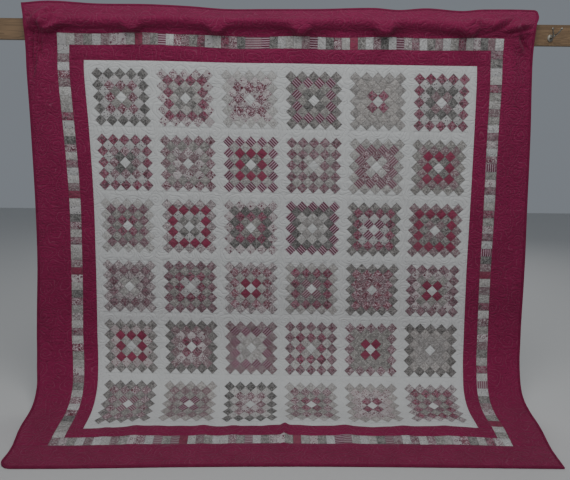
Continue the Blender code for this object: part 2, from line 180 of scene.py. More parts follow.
# Small creases that the solids leave out: from one point of the flat quilt to another.
CREASES = (
    # across, down, to across, to down, width, height
    (-1.072, 0.112, -0.960, 0.024, 0.014, 0.013),
    (-1.056, 0.129, -0.952, 0.045, 0.013, -0.016),
    (-1.044, 0.124, -0.935, 0.066, 0.013, 0.015),
    (-1.010, 0.142, -0.915, 0.106, 0.011, 0.009),
    (-1.010, 0.156, -0.880, 0.126, 0.012, -0.014),
    (-1.046, 0.100, -1.056, 0.195, 0.011, -0.016),
    (-1.074, 0.135, -1.092, 0.375, 0.011, -0.015),
    (-1.064, 0.150, -1.070, 0.310, 0.008, 0.008),
    (-1.052, 0.155, -1.052, 0.245, 0.009, -0.011),
    (-1.042, 0.165, -1.044, 0.280, 0.008, 0.008),
    (-1.028, 0.145, -1.036, 0.280, 0.010, -0.012),
    (-1.056, 0.230, -1.078, 0.355, 0.011, -0.013),
    (-1.120, 0.079, -1.040, 0.082, 0.010, -0.009),
    (-1.115, 0.148, -1.045, 0.151, 0.009, -0.008),
    (0.690, 0.104, 0.820, 0.118, 0.020, 0.009),
    (0.765, 0.100, 0.855, 0.070, 0.012, 0.011),
    (0.640, 0.142, 0.860, 0.150, 0.010, -0.008),
    (0.885, 0.106, 0.985, 0.058, 0.012, 0.010),
    (0.890, 0.128, 1.005, 0.072, 0.011, -0.014),
    (0.950, 0.120, 1.070, 0.090, 0.009, 0.008),
    (0.940, 0.138, 1.120, 0.102, 0.009, -0.012),
    (1.030, 0.130, 1.088, 0.215, 0.010, -0.013),
    (1.010, 0.150, 1.055, 0.215, 0.009, 0.007),
    (-0.745, 1.880, -0.735, 2.090, 0.022, 0.003),
    (-0.625, 1.880, -0.610, 2.110, 0.030, 0.005),
    (-0.480, 1.900, -0.470, 2.080, 0.030, -0.003),
    (-0.335, 1.860, -0.325, 2.110, 0.030, 0.007),
    (-0.205, 1.880, -0.205, 2.100, 0.025, 0.005),
    (-0.085, 1.900, -0.090, 2.060, 0.030, -0.003),
    (0.020, 1.880, 0.006, 2.110, 0.013, 0.012),
    (0.130, 1.900, 0.130, 2.060, 0.035, -0.003),
    (0.265, 1.860, 0.275, 2.120, 0.036, 0.008),
    (0.390, 1.900, 0.390, 2.060, 0.030, -0.003),
    (0.515, 1.880, 0.520, 2.110, 0.032, 0.005),
    (0.690, 1.880, 0.700, 2.100, 0.024, 0.003),
)
# The arched hollows of the top between two hooks.
ARCHES = (
    # across, down, half width, drop, depth
    (-0.800, 0.104, 0.170, 0.006, 0.015),
    (-0.477, 0.083, 0.160, 0.020, 0.027),
    (-0.097, 0.086, 0.170, 0.020, 0.027),
    (0.270, 0.078, 0.150, 0.022, 0.027),
    (0.557, 0.080, 0.120, 0.020, 0.027),
    (0.883, 0.084, 0.100, 0.022, 0.016),
)
ARCH_TURNS = (-0.011, 0.034)              # below the arch's line: it turns in from, to
ARCH_EVENS_OUT = (0.040, 0.150)           # and eases out from, to
BROW = (0.088, 0.015, 0.0035)             # the bend over the hooks: down, width, rise
OFF_HOOKS = (0.026, 0.058)                # how far from a hook a hollow starts, and is whole
UNDER_BEND = (0.100, 0.148, 0.190, 0.330, 0.013)    # draws in from, to, eases out from, to, depth
WRINKLES = (0.134, 0.034, 0.020, 0.0034)  # down, width, from one to the next, rise
WRINKLES_SWAY = ((2.2, 0.31, 0.8), (1.3, 0.13, 2.0))     # each sway: reach, length, start
WRINKLES_COME_AND_GO = (0.6, 0.4, 0.45, 9.0)        # least, more, length, slant
CREASES_FREE = 0.03       # how far in from the edge a crease is whole
PUCKERS = (
    # waves a metre across, and down, start
    (19.0, 7.0, 0.3),
    (-11.0, 17.0, 1.9),
    (5.0, -23.0, 4.1),
    (27.0, 13.0, 2.7),
)
SEAM_ROUNDING = 0.009     # how far from a seam the cloth has risen
UNDER_BINDING = 0.0004    # how far the binding presses the cloth in
# How the easing of the cloth moves the seams from their straight lines.
SEAM_WANDER = (
    # across, down, reach across, reach down, sideways, downwards
    (-0.94, 0.30, 0.10, 0.20, -0.001, 0.000),
    (-0.94, 0.85, 0.12, 0.28, 0.008, 0.000),
    (-0.94, 1.52, 0.12, 0.20, -0.010, 0.000),
    (-0.92, 1.98, 0.10, 0.12, 0.004, 0.000),
    (0.94, 0.55, 0.12, 0.25, -0.012, 0.000),
    (0.94, 0.20, 0.10, 0.12, -0.006, 0.000),
    (0.94, 1.55, 0.12, 0.30, 0.003, 0.000),
    (-0.56, 0.19, 0.16, 0.07, 0.000, -0.005),
    (-0.18, 0.18, 0.17, 0.07, 0.000, 0.009),
    (0.22, 0.18, 0.18, 0.07, 0.000, 0.006),
    (0.62, 0.18, 0.20, 0.07, 0.000, 0.004),
    (-0.60, 2.00, 0.22, 0.10, 0.000, -0.009),
    (-0.10, 2.00, 0.22, 0.10, 0.000, -0.011),
    (0.40, 2.00, 0.22, 0.10, 0.000, -0.011),
    (0.75, 2.00, 0.14, 0.10, 0.000, -0.010),
)

# ---- The fabrics ----
# Colours are linear, and the numbers are how much of each kind of print shows.
FABRICS = {
    # name: (ground, print, floral, speck, stripe, rings, scroll)
    "white": ((0.562, 0.568, 0.560), (0.502, 0.508, 0.500), 0.4, 0.0, 0.0, 0.0, 0.4),
    "white_print": ((0.530, 0.530, 0.522), (0.270, 0.255, 0.250), 0.35, 0.1, 0.0, 0.4, 0.8),
    "cream": ((0.480, 0.468, 0.453), (0.230, 0.220, 0.205), 0.1, 0.2, 0.0, 0.5, 0.7),
    "snow": ((0.430, 0.417, 0.411), (0.040, 0.038, 0.038), 0.0, 1.0, 0.0, 0.0, 0.1),
    "snow_red": ((0.430, 0.385, 0.380), (0.120, 0.010, 0.028), 0.0, 1.0, 0.0, 0.2, 0.3),
    "blush": ((0.465, 0.425, 0.423), (0.110, 0.020, 0.042), 0.0, 0.0, 0.0, 0.95, 0.32),
    "rose": ((0.455, 0.385, 0.397), (0.105, 0.011, 0.030), 0.6, 0.0, 0.0, 0.6, 0.9),
    "red_floral": ((0.490, 0.400, 0.425), (0.115, 0.006, 0.025), 0.8, 0.0, 0.0, 0.7, 1.0),
    "burgundy": ((0.203, 0.023, 0.063), (0.400, 0.370, 0.380), 0.4, 0.0, 0.0, 0.5, 0.25),
    "burgundy_grey": ((0.163, 0.050, 0.078), (0.405, 0.370, 0.370), 0.5, 0.0, 0.0, 0.3, 0.5),
    "rose_grey": ((0.350, 0.305, 0.304), (0.128, 0.032, 0.054), 0.6, 0.0, 0.0, 0.3, 0.7),
    "crimson": ((0.243, 0.042, 0.082), (0.198, 0.025, 0.058), 0.3, 0.0, 0.0, 0.0, 0.0),
    "red_stripe": ((0.350, 0.245, 0.285), (0.098, 0.008, 0.028), 0.0, 0.0, 1.0, 0.0, 0.0),
    "grey_stripe": ((0.322, 0.245, 0.265), (0.180, 0.066, 0.090), 0.0, 0.0, 1.0, 0.0, 0.0),
    "pale_sage": ((0.446, 0.428, 0.410), (0.265, 0.254, 0.240), 0.8, 0.0, 0.0, 0.0, 0.7),
    "sage": ((0.380, 0.363, 0.342), (0.193, 0.184, 0.171), 0.8, 0.0, 0.0, 0.0, 0.7),
    "grey_green": ((0.139, 0.133, 0.124), (0.371, 0.348, 0.334), 0.7, 0.3, 0.0, 0.2, 0.5),
    "charcoal": ((0.083, 0.080, 0.076), (0.320, 0.308, 0.295), 0.6, 0.3, 0.0, 0.2, 0.5),
    "olive": ((0.112, 0.106, 0.098), (0.300, 0.283, 0.272), 0.7, 0.2, 0.0, 0.2, 0.6),
    "taupe": ((0.240, 0.228, 0.217), (0.378, 0.361, 0.346), 0.8, 0.0, 0.0, 0.3, 0.6),
    "pale_taupe": ((0.448, 0.425, 0.403), (0.252, 0.233, 0.220), 0.7, 0.1, 0.0, 0.3, 0.7),
    "grey_print": ((0.540, 0.480, 0.480), (0.130, 0.098, 0.102), 0.5, 0.2, 0.0, 0.5, 0.8),
    "red_mix": ((0.480, 0.385, 0.410), (0.150, 0.008, 0.032), 0.85, 0.3, 0.0, 0.6, 0.6),
}
# Prints with a third, nearly black colour in thin lines: how much of it shows.
DARK_INK = {
    "burgundy": 0.60, "burgundy_grey": 0.45, "grey_green": 0.45, "charcoal": 0.45, "olive": 0.45,
    "sage": 0.30, "pale_sage": 0.20, "taupe": 0.30, "pale_taupe": 0.22, "rose_grey": 0.25,
    "rose": 0.25, "red_floral": 0.30, "red_mix": 0.30, "grey_print": 0.35, "crimson": 0.25,
}

# The blocks, six to a row: the fabrics of each block's rings of squares, from the outer one in.
BLOCK_CHART = (
    # row 1
    "charcoal snow red_floral sage", "blush burgundy pale_sage grey_green",
    "cream blush red_floral blush", "grey_green red_stripe sage charcoal",
    "taupe pale_taupe pale_taupe burgundy", "burgundy snow charcoal rose_grey",
    # row 2
    "burgundy snow rose charcoal", "rose sage blush rose_grey",
    "red_stripe pale_sage crimson grey_green", "burgundy_grey pale_sage burgundy_grey cream",
    "pale_sage grey_stripe rose cream", "sage rose_grey crimson grey_green",
    # row 3
    "cream burgundy_grey sage burgundy", "grey_print crimson snow grey_green",
    "blush charcoal burgundy sage", "red_stripe charcoal cream taupe",
    "grey_green burgundy snow red_stripe", "rose_grey crimson grey_green rose_grey",
    # row 4
    "grey_print burgundy_grey grey_print pale_sage", "burgundy_grey sage burgundy snow",
    "grey_print red_mix pale_sage crimson", "pale_sage burgundy grey_green grey_stripe",
    "grey_green red_mix rose red_mix", "burgundy_grey blush sage crimson",
    # row 5
    "grey_green snow_red crimson pale_sage", "olive rose_grey blush burgundy",
    "rose_grey red_stripe cream pale_sage", "burgundy_grey cream burgundy pale_sage",
    "rose sage sage crimson", "olive pale_taupe taupe taupe",
    # row 6
    "grey_green rose sage grey_stripe", "pale_taupe rose_grey sage red_stripe",
    "charcoal cream rose blush", "pale_sage rose sage burgundy",
    "pale_taupe snow_red blush burgundy", "grey_print burgundy sage burgundy_grey",
)

# The pieced border's patches, in order from the left, or from the top.
PIECED_CHART = {
    "top": (
        "snow pale_sage rose_grey grey_green white_print rose_grey blush blush pale_sage crimson "
        "rose_grey grey_green red_stripe white_print red_floral rose grey_green burgundy snow "
        "cream burgundy rose charcoal grey_stripe grey_stripe red_stripe charcoal white_print "
        "pale_sage cream rose_grey red_stripe white_print charcoal rose pale_sage crimson "
        "grey_green white_print rose charcoal white_print red_stripe grey_print burgundy_grey "
        "white_print grey_green rose_grey white_print sage burgundy pale_sage blush charcoal "
        "rose_grey white_print"
    ),
    "bottom": (
        "rose_grey grey_print sage white_print rose_grey white_print cream rose_grey sage blush "
        "rose white_print grey_stripe sage grey_stripe crimson cream rose_grey sage white_print "
        "cream rose sage grey_stripe white_print grey_green grey_print blush sage crimson "
        "pale_sage snow_red sage white_print red_stripe grey_stripe pale_sage white_print "
        "pale_sage grey_green grey_stripe rose_grey white_print rose cream rose sage pale_sage "
        "blush red_mix grey_green pale_sage burgundy blush white_print"
    ),
    "left": (
        "snow rose_grey white_print red_floral rose_grey cream pale_sage taupe burgundy snow "
        "pale_sage charcoal rose pale_sage burgundy_grey white_print cream rose_grey crimson "
        "cream snow charcoal rose pale_sage burgundy_grey cream pale_sage rose_grey crimson blush "
        "pale_sage charcoal rose pale_sage grey_print cream burgundy_grey cream red_floral sage "
        "pale_sage blush rose_grey grey_green cream rose white_print red_floral charcoal "
        "pale_sage pale_sage cream"
    ),
    "right": (
        "burgundy_grey grey_green white_print cream burgundy sage pale_sage rose_grey sage "
        "white_print burgundy_grey grey_print white_print rose red_stripe sage blush "
        "burgundy_grey white_print pale_sage burgundy sage blush burgundy_grey white_print "
        "red_stripe charcoal rose_grey crimson pale_sage rose_grey pale_sage burgundy cream rose "
        "sage blush rose_grey grey_green pale_sage burgundy cream grey_stripe white_print "
        "grey_green rose_grey blush sage crimson cream sage"
    ),
}
# The patches were cut by eye: how far along a side some of their seams are.
PIECED_SEAMS = {
    # side: (seam, share of the side)
    "top": ((0, 0.0), (9, 0.172), (13, 0.241), (18, 0.328), (27, 0.491), (37, 0.671), (46, 0.827),
            (56, 1.0)),
    "bottom": ((0, 0.0), (16, 0.296), (30, 0.542), (45, 0.818), (55, 1.0)),
    "left": ((0, 0.0), (9, 0.174), (18, 0.340), (29, 0.549), (35, 0.667), (44, 0.844), (52, 1.0)),
    "right": ((0, 0.0), (18, 0.333), (29, 0.543), (35, 0.667), (43, 0.825), (51, 1.0)),
}


# ---- What a user may change ----
def length_property(name, description, default, least, most):
    """A length that a user may change."""
    return bpy.props.FloatProperty(
        name=name, description=description, default=default, min=least, max=most, unit="LENGTH",
    )


def colour_property(name, description, *default):
    """A colour that a user may change."""
    return bpy.props.FloatVectorProperty(
        name=name, description=description, default=default, size=3, min=0.0, max=1.0,
        subtype="COLOR",
    )


class QuiltSizes(bpy.types.PropertyGroup):
    """How full and how deeply sewn the quilt is."""

    puff: length_property("Puff", "How far the wadding lifts the cloth", 0.0010, 0.0, 0.003)
    ditch: length_property("Ditch", "How far a seam is drawn in", 0.0012, 0.0, 0.002)
    pucker: length_property("Pucker", "How far the washed cloth rises and falls", 0.0007, 0.0, 0.002)
    grid: length_property("Grid", "How finely the borders are divided", 0.0050, 0.004, 0.05)


class QuiltColours(bpy.types.PropertyGroup):
    """The quilt's plain colours."""

    border: colour_property("Border", "The plain borders", 0.219, 0.0112, 0.0615)
    binding: colour_property("Binding", "The folded strip round the edge", 0.175, 0.0145, 0.053)
    thread: colour_property("Thread", "The quilting thread", 0.37, 0.15, 0.21)
    backing: colour_property("Backing", "The plain cloth of the back", 0.56, 0.54, 0.50)
    wood: colour_property("Wood", "The rail's varnished pine", 0.216, 0.136, 0.071)
    metal: colour_property("Metal", "The cast hooks", 0.33, 0.31, 0.27)
    floor: colour_property("Floor", "The plain floor of the stage", 0.55, 0.55, 0.54)


# ---- The draped surface ----
def side_profile():
    """The cloth's reach in front of the rail's back and its height, every millimetre down."""
    down = np.arange(0.0, LENGTH + 0.02, TABLE_STEP)
    lean = np.radians(np.interp(down, *np.transpose(SIDE_PROFILE)))
    middle = (lean[1:] + lean[:-1]) / 2
    reach = np.concatenate([[0.0], np.cumsum(np.sin(middle))]) * TABLE_STEP
    drop = np.concatenate([[0.0], np.cumsum(np.cos(middle))]) * TABLE_STEP
    hem = np.searchsorted(down, LENGTH)
    return down, HEM_REACH + reach - reach[hem], BINDING_OUTSIDE - RAIL_HEIGHT + drop[hem] - drop


PROFILE_DOWN, PROFILE_REACH, PROFILE_HEIGHT = side_profile()


def smooth_table(table, at, column=1):
    """A table's column at many places, along a smooth curve through its rows."""
    places = np.array([row[0] for row in table])
    value = np.array([row[column] for row in table])
    at = np.clip(at, places[0], places[-1])
    row = np.clip(np.searchsorted(places, at, side="right"), 1, len(table) - 1)
    start, run = places[row - 1], places[row] - places[row - 1]
    before, after = np.maximum(row - 2, 0), np.minimum(row + 1, len(table) - 1)
    slope_in = (value[row] - value[before]) / (places[row] - places[before])
    slope_out = (value[after] - value[row - 1]) / (places[after] - places[row - 1])
    t = (at - start) / run
    return (
        value[row - 1] * (1 + 2 * t) * (1 - t) ** 2
        + slope_in * run * t * (1 - t) ** 2
        + value[row] * (3 - 2 * t) * t ** 2
        + slope_out * run * t ** 2 * (t - 1)
    )


def step(at, start, end):
    """0 before start, 1 after end and an even curve between."""
    t = np.clip((at - start) / (end - start), 0.0, 1.0)
    return t * t * (3 - 2 * t)


def hump(at, middle, width):
    """1 at the middle, fading to nothing about two widths away."""
    return np.exp(-(((at - middle) / width) ** 2))


def to_edge(across, down):
    """How far places of the flat quilt are from its nearest edge."""
    return np.minimum(HALF_WIDTH - np.abs(across), np.minimum(down, LENGTH - down))


def eased(across, down):
    """Where the easing of the cloth moves places of the flat quilt."""
    sideways, downwards = np.zeros_like(across), np.zeros_like(across)
    for a, d, reach_across, reach_down, aside, lower in SEAM_WANDER:
        share = hump(across, a, reach_across) * hump(down, d, reach_down)
        sideways, downwards = sideways + aside * share, downwards + lower * share
    free = step(to_edge(across, down), 0.0, EDGE_BAND)
    across, down = across + sideways * free, down + downwards * free

    # Two corners are blunt: there a square of cloth is drawn in to a quarter circle.
    for side, corner_down, radius in BLUNT_CORNERS:
        up = 1 if corner_down == 0.0 else -1
        p = np.maximum(radius - (HALF_WIDTH - side * across), 0.0)
        q = np.maximum(radius - up * (down - corner_down), 0.0)
        drawn = 1 - np.maximum(p, q) / np.maximum(np.hypot(p, q), 1e-9)
        both = (p > 0) & (q > 0)
        across = across - side * p * drawn * both
        down = down + up * q * drawn * both
    return across, down


def middle_surface(across, down):
    """The middle of the cloth's thickness, for places on the flat quilt."""
    across, down = eased(across, down)
    left, left_seam, right_seam, right = (
        smooth_table(SIDE_LINES, down, column) for column in (1, 2, 3, 4)
    )
    share = (across + SEAM_LINE) / (2 * SEAM_LINE)
    x = left_seam + (right_seam - left_seam) * share
    past = (np.abs(across) - SEAM_LINE) / OUTER_BORDER
    x = np.where(across < -SEAM_LINE, left_seam + (left - left_seam) * past, x)
    x = np.where(across > SEAM_LINE, right_seam + (right - right_seam) * past, x)

    # Below the hooks, a row that hangs higher takes its length from the foot.
    tilt = ROW_TILT * across / HALF_WIDTH * step(down, *TILT_GROWS)
    taken_up = step(down, *TILT_FADES)
    along = down - tilt * taken_up
    reach = np.interp(along, PROFILE_DOWN, PROFILE_REACH)
    z = np.interp(along, PROFILE_DOWN, PROFILE_HEIGHT) + tilt * (1 - taken_up)
    z = z + smooth_table(TOP_EDGE, across) * (1 - step(down, *EDGE_EVENS_OUT))

    # Over the hooks, between them and past the ends of the row.
    between_hooks = np.sin(pi * (x - LAST_HOOK) / HOOK_PITCH) ** 2
    reach = reach - HOOK_SAG * hump(down, *OVER_HOOKS) * between_hooks
    reach = reach - END_FALL * hump(down, *END_FALL_PLACE) * step(np.abs(across), *END_FALLS)
    for place, forward in END_FOLDS:
        fold = hump(down, *END_FOLD_PLACE) * hump(across, place, END_FOLD_WIDTH)
        reach = reach + forward * fold

    # Ripples of the hanging part and of the slope at the foot.
    hanging = step(down, *RIPPLES_GROW) * (1 - step(down, *RIPPLES_FADE))
    rise, length, start, slant = RIPPLE
    reach = reach + rise * hanging * np.sin(2 * pi * across / length + start + slant * down)
    rise, length, start = FOOT_RIPPLE
    turn = 2 * pi * across / length + start
    z = z + rise * hump(down, *FOOT_RIPPLE_PLACE) * (1 + np.sin(turn))

    # The line of the hem, and the bulge below the top corner at the right.
    reach = reach + smooth_table(FOOT_LINE, across, 1) * step(down, *FOOT_MOVES)
    z = z - smooth_table(FOOT_LINE, across, 2) * hump(down, *SLOPE_PLACE)
    place, width, sideways = RIGHT_BULGE
    at_right = step(across, HALF_WIDTH - EDGE_BAND, HALF_WIDTH)
    x = x + sideways * hump(down, place, width) * at_right
    return np.stack([x, -reach, z], axis=-1)


def unit(vectors):
    """Vectors made one long."""
    return vectors / np.linalg.norm(vectors, axis=-1, keepdims=True)


def drape(across, down, front):
    """Points of the flat quilt, front being their height above the middle of the cloth."""
    across, down, front = (np.asarray(value, float) for value in (across, down, front))
    a = np.clip(across, -HALF_WIDTH + NEAR, HALF_WIDTH - NEAR)
    d = np.clip(down, NEAR, LENGTH - NEAR)
    along_x = unit(middle_surface(a + NEAR, d) - middle_surface(a - NEAR, d))
    along_down = unit(middle_surface(a, d + NEAR) - middle_surface(a, d - NEAR))
    normal = unit(np.cross(along_down, along_x))
    inside_across = np.clip(across, -HALF_WIDTH, HALF_WIDTH)
    inside_down = np.clip(down, 0.0, LENGTH)
    past_edges = (
        along_x * (across - inside_across)[..., None]
        + along_down * (down - inside_down)[..., None]
    )
    free = step(np.minimum(HALF_WIDTH - np.abs(a), d), 0.0, CREASES_FREE)
    front = front + creases(a, d) * free
    return middle_surface(inside_across, inside_down) + past_edges + normal * front[..., None]


def creases(across, down):
    """The height of the small creases at places on the flat quilt."""
    raised, hollow = np.zeros_like(across), np.zeros_like(across)
    for a0, d0, a1, d1, width, rise in CREASES:
        run = np.array((a1 - a0, d1 - d0))
        share = np.clip(((across - a0) * run[0] + (down - d0) * run[1]) / (run @ run), 0, 1)
        away = np.hypot(across - a0 - run[0] * share, down - d0 - run[1] * share)
        height = rise * hump(away, 0.0, width) * np.sin(pi * np.clip(share, 0.02, 0.98))
        raised, hollow = raised + np.maximum(height, 0.0), hollow + np.minimum(height, 0.0)
    for a, d, half_width, drop, depth in ARCHES:
        aside = np.abs(across - a) / half_width
        below = down - d - drop * np.minimum(aside, 1.5) ** 1.5
        dip = step(below, *ARCH_TURNS) * (1 - step(below, *ARCH_EVENS_OUT))
        hollow = hollow - depth * dip * hump(aside, 0.0, 1.0)
    start, full, ease, end, depth = UNDER_BEND
    hollow = hollow - depth * step(down, start, full) * (1 - step(down, ease, end))
    place, width, rise = BROW
    raised = raised + rise * hump(down, place, width)

    # No hollow reaches a hook, and the small wrinkles run across below the bend.
    to_hook = np.abs((across - LAST_HOOK + HOOK_PITCH / 2) % HOOK_PITCH - HOOK_PITCH / 2)
    hollow = hollow * step(np.hypot(to_hook, down - HOOK_PLACE), *OFF_HOOKS)
    place, width, length, rise = WRINKLES
    sway = sum(
        sway_reach * np.sin(2 * pi * across / sway_length + start)
        for sway_reach, sway_length, start in WRINKLES_SWAY
    )
    least, more, patch_length, slant = WRINKLES_COME_AND_GO
    patchy = least + more * np.sin(2 * pi * across / patch_length + slant * down)
    wave = 0.5 + 0.5 * np.sin(2 * pi * down / length + sway)
    return raised + hollow + rise * patchy * hump(down, place, width) * wave


def puckers(across, down):
    """Small hollows and rises of washed quilting, between -1 and 1."""
    total = sum(np.sin(2 * pi * (wa * across + wd * down) + start) for wa, wd, start in PUCKERS)
    return total / len(PUCKERS)


def relief(across, down, seam):
    """How high the front stands above its plain level, seam being how far the nearest seam is."""
    sizes = bpy.context.scene.quilt_sizes
    lift = 1 - np.exp(-((seam / SEAM_ROUNDING) ** 2))
    height = -sizes.ditch + (sizes.ditch + sizes.puff) * lift
    open_cloth = step(to_edge(across, down), BINDING_WIDTH, 3 * BINDING_WIDTH)
    height = height + sizes.pucker * puckers(across, down) * lift
    return height * open_cloth - UNDER_BINDING * (1 - open_cloth)


# ---- Shader helpers ----
def maths(operation, turned=False):
    """A method that adds a Math node; turned is for an operator's reflected form."""
    def method(self, *others):
        values = (*others, self) if turned else (self, *others)
        return self.finish.node(
            "ShaderNodeMath", {"operation": operation}, dict(enumerate(values))
        )
    return method


class Value:
    """A shader socket that can be used in sums."""

    def __init__(self, finish, socket):
        self.finish = finish
        self.socket = socket

    __add__, __radd__ = maths("ADD"), maths("ADD", turned=True)
    __sub__, __rsub__ = maths("SUBTRACT"), maths("SUBTRACT", turned=True)
    __mul__, __rmul__ = maths("MULTIPLY"), maths("MULTIPLY", turned=True)
    __truediv__, __rtruediv__ = maths("DIVIDE"), maths("DIVIDE", turned=True)
    __pow__, __abs__, __gt__ = maths("POWER"), maths("ABSOLUTE"), maths("GREATER_THAN")
    floor, fraction, sine = maths("FLOOR"), maths("FRACT"), maths("SINE")
    least, most, turn_to = maths("MINIMUM"), maths("MAXIMUM"), maths("ARCTAN2")

    def smooth(self, start, end):
        """0 at start, 1 at end and an even curve between."""
        return self.finish.node(
            "ShaderNodeMapRange", {"interpolation_type": "SMOOTHSTEP"},
            {"Value": self, "From Min": start, "From Max": end},
        )


class Finish:
    """A material, and the nodes that it is made of."""

    def __init__(self, name, roughness, metallic=0.0, gloss=0.5, sheen=0.0, coat=0.0):
        self.material = bpy.data.materials.new(name)
        self.material.use_nodes = True
        self.tree = self.material.node_tree
        self.shader = self.tree.nodes["Principled BSDF"]
        constants = (
            ("Roughness", roughness), ("Metallic", metallic), ("Specular IOR Level", gloss),
            ("Sheen Weight", sheen), ("Coat Weight", coat),
        )
        for socket, value in constants:
            self.shader.inputs[socket].default_value = value

    def node(self, kind, settings=None, sockets=None, output=0):
        """Add a node: its type, its settings, then its sockets' values or links."""
        node = self.tree.nodes.new(kind)
        for name, value in (settings or {}).items():
            setattr(node, name, value)
        for name, value in (sockets or {}).items():
            self.feed(node.inputs[name], value)
        return Value(self, node.outputs[output])

    def feed(self, socket, value):
        """Link a socket to a value, or set it."""
        if isinstance(value, Value):
            self.tree.links.new(value.socket, socket)
        elif socket.type == "RGBA":
            socket.default_value = (*value, 1.0)
        else:
            socket.default_value = value

    def mix(self, share, first, second):
        """A colour between two colours."""
        return self.node(
            "ShaderNodeMix", {"data_type": "RGBA"}, {0: share, 6: first, 7: second}, output=2
        )

    def vector(self, x, y, z=0.0):
        return self.node("ShaderNodeCombineXYZ", None, {"X": x, "Y": y, "Z": z})

    def part(self, vector, axis):
        return self.node("ShaderNodeSeparateXYZ", None, {"Vector": vector}, output=axis)

    def vector_maths(self, operation, sockets, output=0):
        return self.node("ShaderNodeVectorMath", {"operation": operation}, sockets, output)

    def stretched(self, vector, *scale):
        """A place, scaled by its own amount along each axis."""
        return self.node("ShaderNodeMapping", None, {"Vector": vector, "Scale": scale})

    def cells(self, where, scale, randomness):
        """How far the nearest of many scattered points is, in cells."""
        sockets = {"Vector": where, "Scale": scale, "Randomness": randomness}
        return self.node("ShaderNodeTexVoronoi", {"feature": "F1"}, sockets)

    def attribute(self, name, output=2):
        """An attribute of the mesh: output 1 is a vector, 2 a number."""
        return self.node("ShaderNodeAttribute", {"attribute_name": name}, output=output)

    def noise(self, where, scale, detail=2.0, distortion=0.0, output=0):
        sockets = {"Vector": where, "Scale": scale, "Detail": detail, "Distortion": distortion}
        return self.node("ShaderNodeTexNoise", None, sockets, output=output)

    def bump(self, height, distance, strength=1.0, below=None):
        sockets = {"Height": height, "Distance": distance, "Strength": strength}
        if below is not None:
            sockets["Normal"] = below
        return self.node("ShaderNodeBump", None, sockets)

    def finish(self, **surface):
        """Link what changes over the surface: colour, roughness or normal."""
        sockets = {"colour": "Base Color", "roughness": "Roughness", "normal": "Normal"}
        for name, value in surface.items():
            self.feed(self.shader.inputs[sockets[name]], value)
        return self.material


# ---- The finishes ----
SWIRL_CELL = 0.090        # from one quilted swirl to the next
SWIRL_PITCH = 0.0155      # between a swirl's turns
SWIRL_ROW = 0.87          # from one row of swirls to the next, in cells
SWIRL_WANDER = 0.035      # how far the swirls are pushed about
SWIRL_OFF = 0.12          # how far a swirl's middle is off its cell's middle, in cells
STITCH_EDGES = (0.0003, 0.0016)           # a stitched line is whole here, and has faded here
DITCH_EDGE = 0.0045       # how far from a stitched line the cloth has risen
THREAD = 0.0007           # from one thread of the weave to the next
THREAD_RISE = 0.00012
STRIPE = 0.0098           # a striped print's repeat
SEAM_SHADE = 0.0022       # how far from a seam its shade reaches
PATCH_SEAM_SHADE = 0.0030
RAIL_EDGE_SHADE_AND_DIRT = (0.0375, 0.0445)             # the rail's edges, darkened by painted shade and dirt, from its middle
ONE_TURN = 2 * pi
THIRD_INK = (0.040, 0.036, 0.036)
WORN_CLOTH = (0.30, 0.29, 0.28)
PATCH_THREAD = (0.38, 0.37, 0.37)
# The colour of the painted shade along the patches' seams.
SEAM_SHADE_COLOUR = (0.12, 0.11, 0.11)
CREASE_RISE = 0.0010      # of the borders' long creases, for each share of crumpling past 1


def tinted(shade, amount):
    """A colour made lighter or darker."""
    return tuple(min(1.0, channel * amount) for channel in shade)


def flat_cloth(finish):
    """Where a point is on the flat quilt, in metres."""
    return finish.node("ShaderNodeUVMap", {"uv_map": FLAT_MAP})


def swirls(finish, flat):
    """How far the nearest line of the swirled quilting is, in metres."""
    push, back = (2 * SWIRL_WANDER,) * 2 + (0.0,), (-SWIRL_WANDER,) * 2 + (0.0,)
    wander = finish.noise(flat, 12.0, 2.0, output=1)
    wander = finish.vector_maths("MULTIPLY_ADD", {0: wander, 1: push, 2: back})
    bent = finish.vector_maths("ADD", {0: flat, 1: wander})
    u = finish.part(bent, 0) / SWIRL_CELL
    v = finish.part(bent, 1) / (SWIRL_CELL * SWIRL_ROW)
    row = v.floor()
    u = u + (row * 0.5).fraction()
    cell = finish.vector(u.floor(), row)
    chance = finish.node("ShaderNodeTexWhiteNoise", {"noise_dimensions": "2D"}, {"Vector": cell})
    cell_u = u.fraction() - (0.5 + SWIRL_OFF) + chance * (2 * SWIRL_OFF)
    cell_v = (v.fraction() - (0.5 - SWIRL_OFF) - chance * (2 * SWIRL_OFF)) * SWIRL_ROW
    radius = (cell_u * cell_u + cell_v * cell_v) ** 0.5
    hand = (chance > 0.5) * 2.0 - 1.0
    around = hand * cell_v.turn_to(cell_u) / ONE_TURN
    turns = radius * (SWIRL_CELL / SWIRL_PITCH) + around + chance
    return abs(turns.fraction() - 0.5) * SWIRL_PITCH


def weave_height(finish, flat):
    """Threads over and under."""
    u, v = finish.part(flat, 0), finish.part(flat, 1)
    return (u * (ONE_TURN / THREAD)).sine() * (v * (ONE_TURN / THREAD)).sine()


